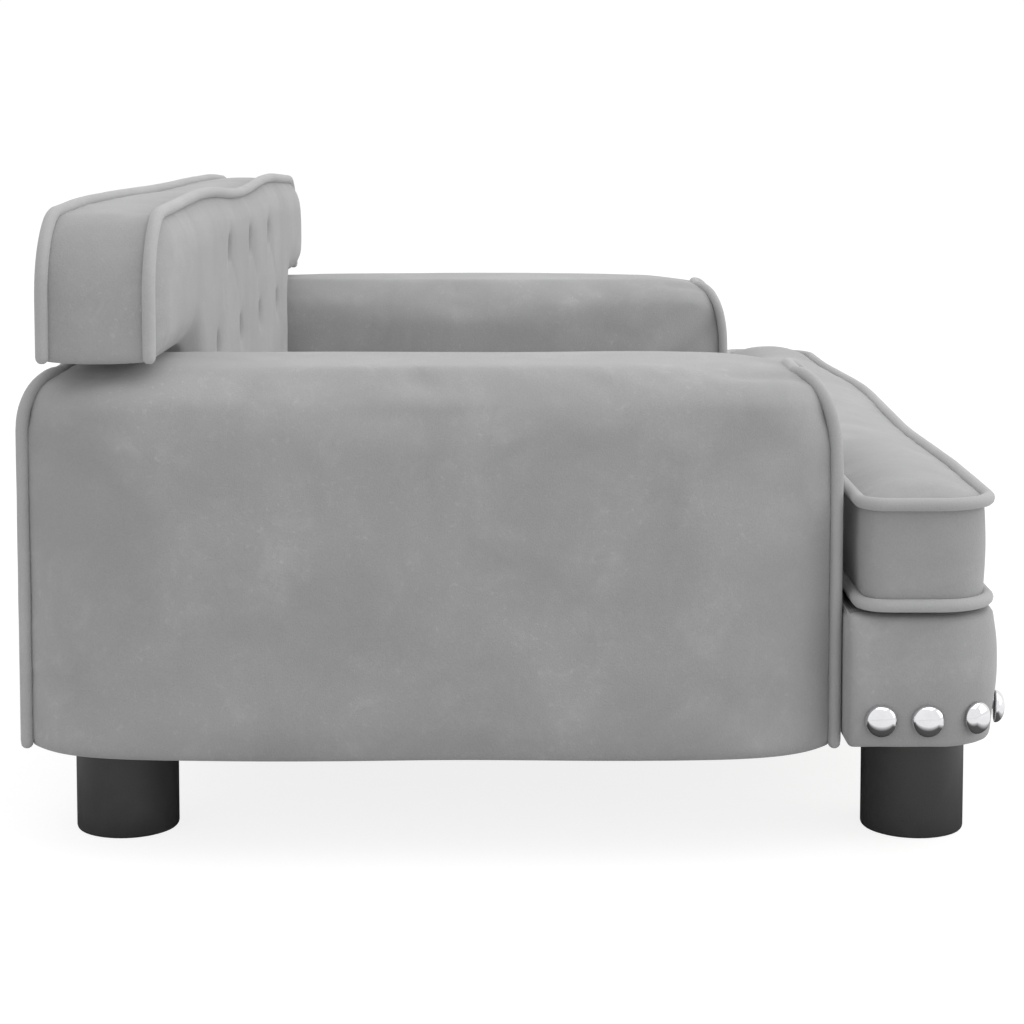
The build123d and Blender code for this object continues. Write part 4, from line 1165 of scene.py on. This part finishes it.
# Finishes of the frame pieces that stay as they are
METAL_PARTS = ("foot_studs", "frame_bolts", "insert_nuts")
for name, node in frame["nodes"].items():
    material = PINE
    if name in METAL_PARTS:
        material = STEEL
    elif name == "seat_deck" or name.endswith("panel"):
        material = PLYWOOD
    elif name.endswith(("foam", "padding")):
        material = FOAM
    node.data.materials.clear()
    node.data.materials.append(material)


# Floor, light and camera
def floor():
    """A pale floor that is bright where it is seen directly, and coloured dark near the sofa where something mirrors
    it: painted shade under the sofa, for the nails and other glossy surfaces to reflect.
    """
    mesh = bpy.data.meshes.new("floor")
    mesh.from_pydata([(-9, -9, 0), (9, -9, 0), (9, 9, 0), (-9, 9, 0)], [], [(0, 1, 2, 3)])
    material = bpy.data.materials.new("pale floor")
    material.use_nodes = True
    material.node_tree.nodes.clear()
    graph = Graph(material.node_tree)
    rays = graph.node("ShaderNodeLightPath").outputs
    seen = graph.math("MAXIMUM", rays["Is Camera Ray"], rays["Is Transmission Ray"])
    split = graph.node("ShaderNodeSeparateXYZ", {0: graph.place()}).outputs
    half_width, half_depth = 0.350, 0.230
    across = graph.math("SUBTRACT", graph.math("ABSOLUTE", split["X"]), half_width)
    along = graph.math("SUBTRACT", graph.math("ABSOLUTE", split["Y"]), half_depth)
    mirrored = rays["Is Glossy Ray"]
    clear = graph.stretch(graph.math("MAXIMUM", across, along), 0.05, 0.13)
    open_floor = graph.math("MULTIPLY", mirrored, clear)
    # under is the dark colour that mirrors see on the floor near the sofa: painted shade in their reflections.
    bounced, direct, under = 0.66, 0.26, 0.10
    shade = graph.math("MULTIPLY_ADD", seen, direct - bounced, bounced)
    shade = graph.math("MULTIPLY_ADD", mirrored, under - bounced, shade)
    shade = graph.math("MULTIPLY_ADD", open_floor, bounced - under, shade)
    matt = graph.node("ShaderNodeBsdfDiffuse", {"Color": shade}).outputs[0]
    strength = graph.weighed((seen, 0.84), (open_floor, 0.30))
    glow = graph.node("ShaderNodeEmission", {"Strength": strength}).outputs[0]
    both = graph.node("ShaderNodeAddShader", {0: matt, 1: glow}).outputs[0]
    graph.node("ShaderNodeOutputMaterial", {"Surface": both})
    mesh.materials.append(material)
    linked("floor", mesh)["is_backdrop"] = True


def world():
    """White all round, brighter for what the camera, mirrors and glass see than for light that only bounces."""
    made = bpy.data.worlds.new("studio")
    made.use_nodes = True
    graph = Graph(made.node_tree)
    rays = graph.node("ShaderNodeLightPath").outputs
    seen = graph.math("MAXIMUM", rays["Is Camera Ray"], rays["Is Glossy Ray"])
    seen = graph.math("MAXIMUM", seen, rays["Is Transmission Ray"])
    back_light = graph.nodes["Background"].inputs
    graph.give(back_light["Color"], (1, 1, 1, 1))
    bounced, direct = 0.78, 1.02
    graph.give(back_light["Strength"], graph.math("MULTIPLY_ADD", seen, direct - bounced, bounced))
    bpy.context.scene.world = made


def lamp(name, place, aim, size, power):
    """A rectangular light of a power in watts that faces a spot."""
    data = bpy.data.lights.new(name, "AREA")
    data.shape = "RECTANGLE"
    data.size, data.size_y = size
    data.energy = power
    piece = linked(name, data)
    piece.location = place
    piece.rotation_mode = "QUATERNION"
    piece.rotation_quaternion = (Vector(place) - Vector(aim)).to_track_quat("Z", "Y")


def camera():
    data = bpy.data.cameras.new("camera")
    data.lens, data.sensor_width = 81.12, 36
    data.shift_y = -0.20
    data.clip_start, data.clip_end = 0.05, 50
    piece = linked("camera", data)
    piece.location = (-1.3691, 0.0014, 0.3355)
    piece.rotation_euler = (math.radians(90 - 4.61), 0, math.radians(-90))
    bpy.context.scene.camera = piece


floor()
world()
lamp("top light", (-0.2, -0.5, 2.2), (0, 0, 0.15), (2.4, 2.4), 17)
lamp("front light", (-0.3, -2.4, 1.0), (0, 0, 0.15), (1.8, 1.4), 14)
camera()
bpy.context.scene.view_settings.view_transform = "Standard"

low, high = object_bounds()
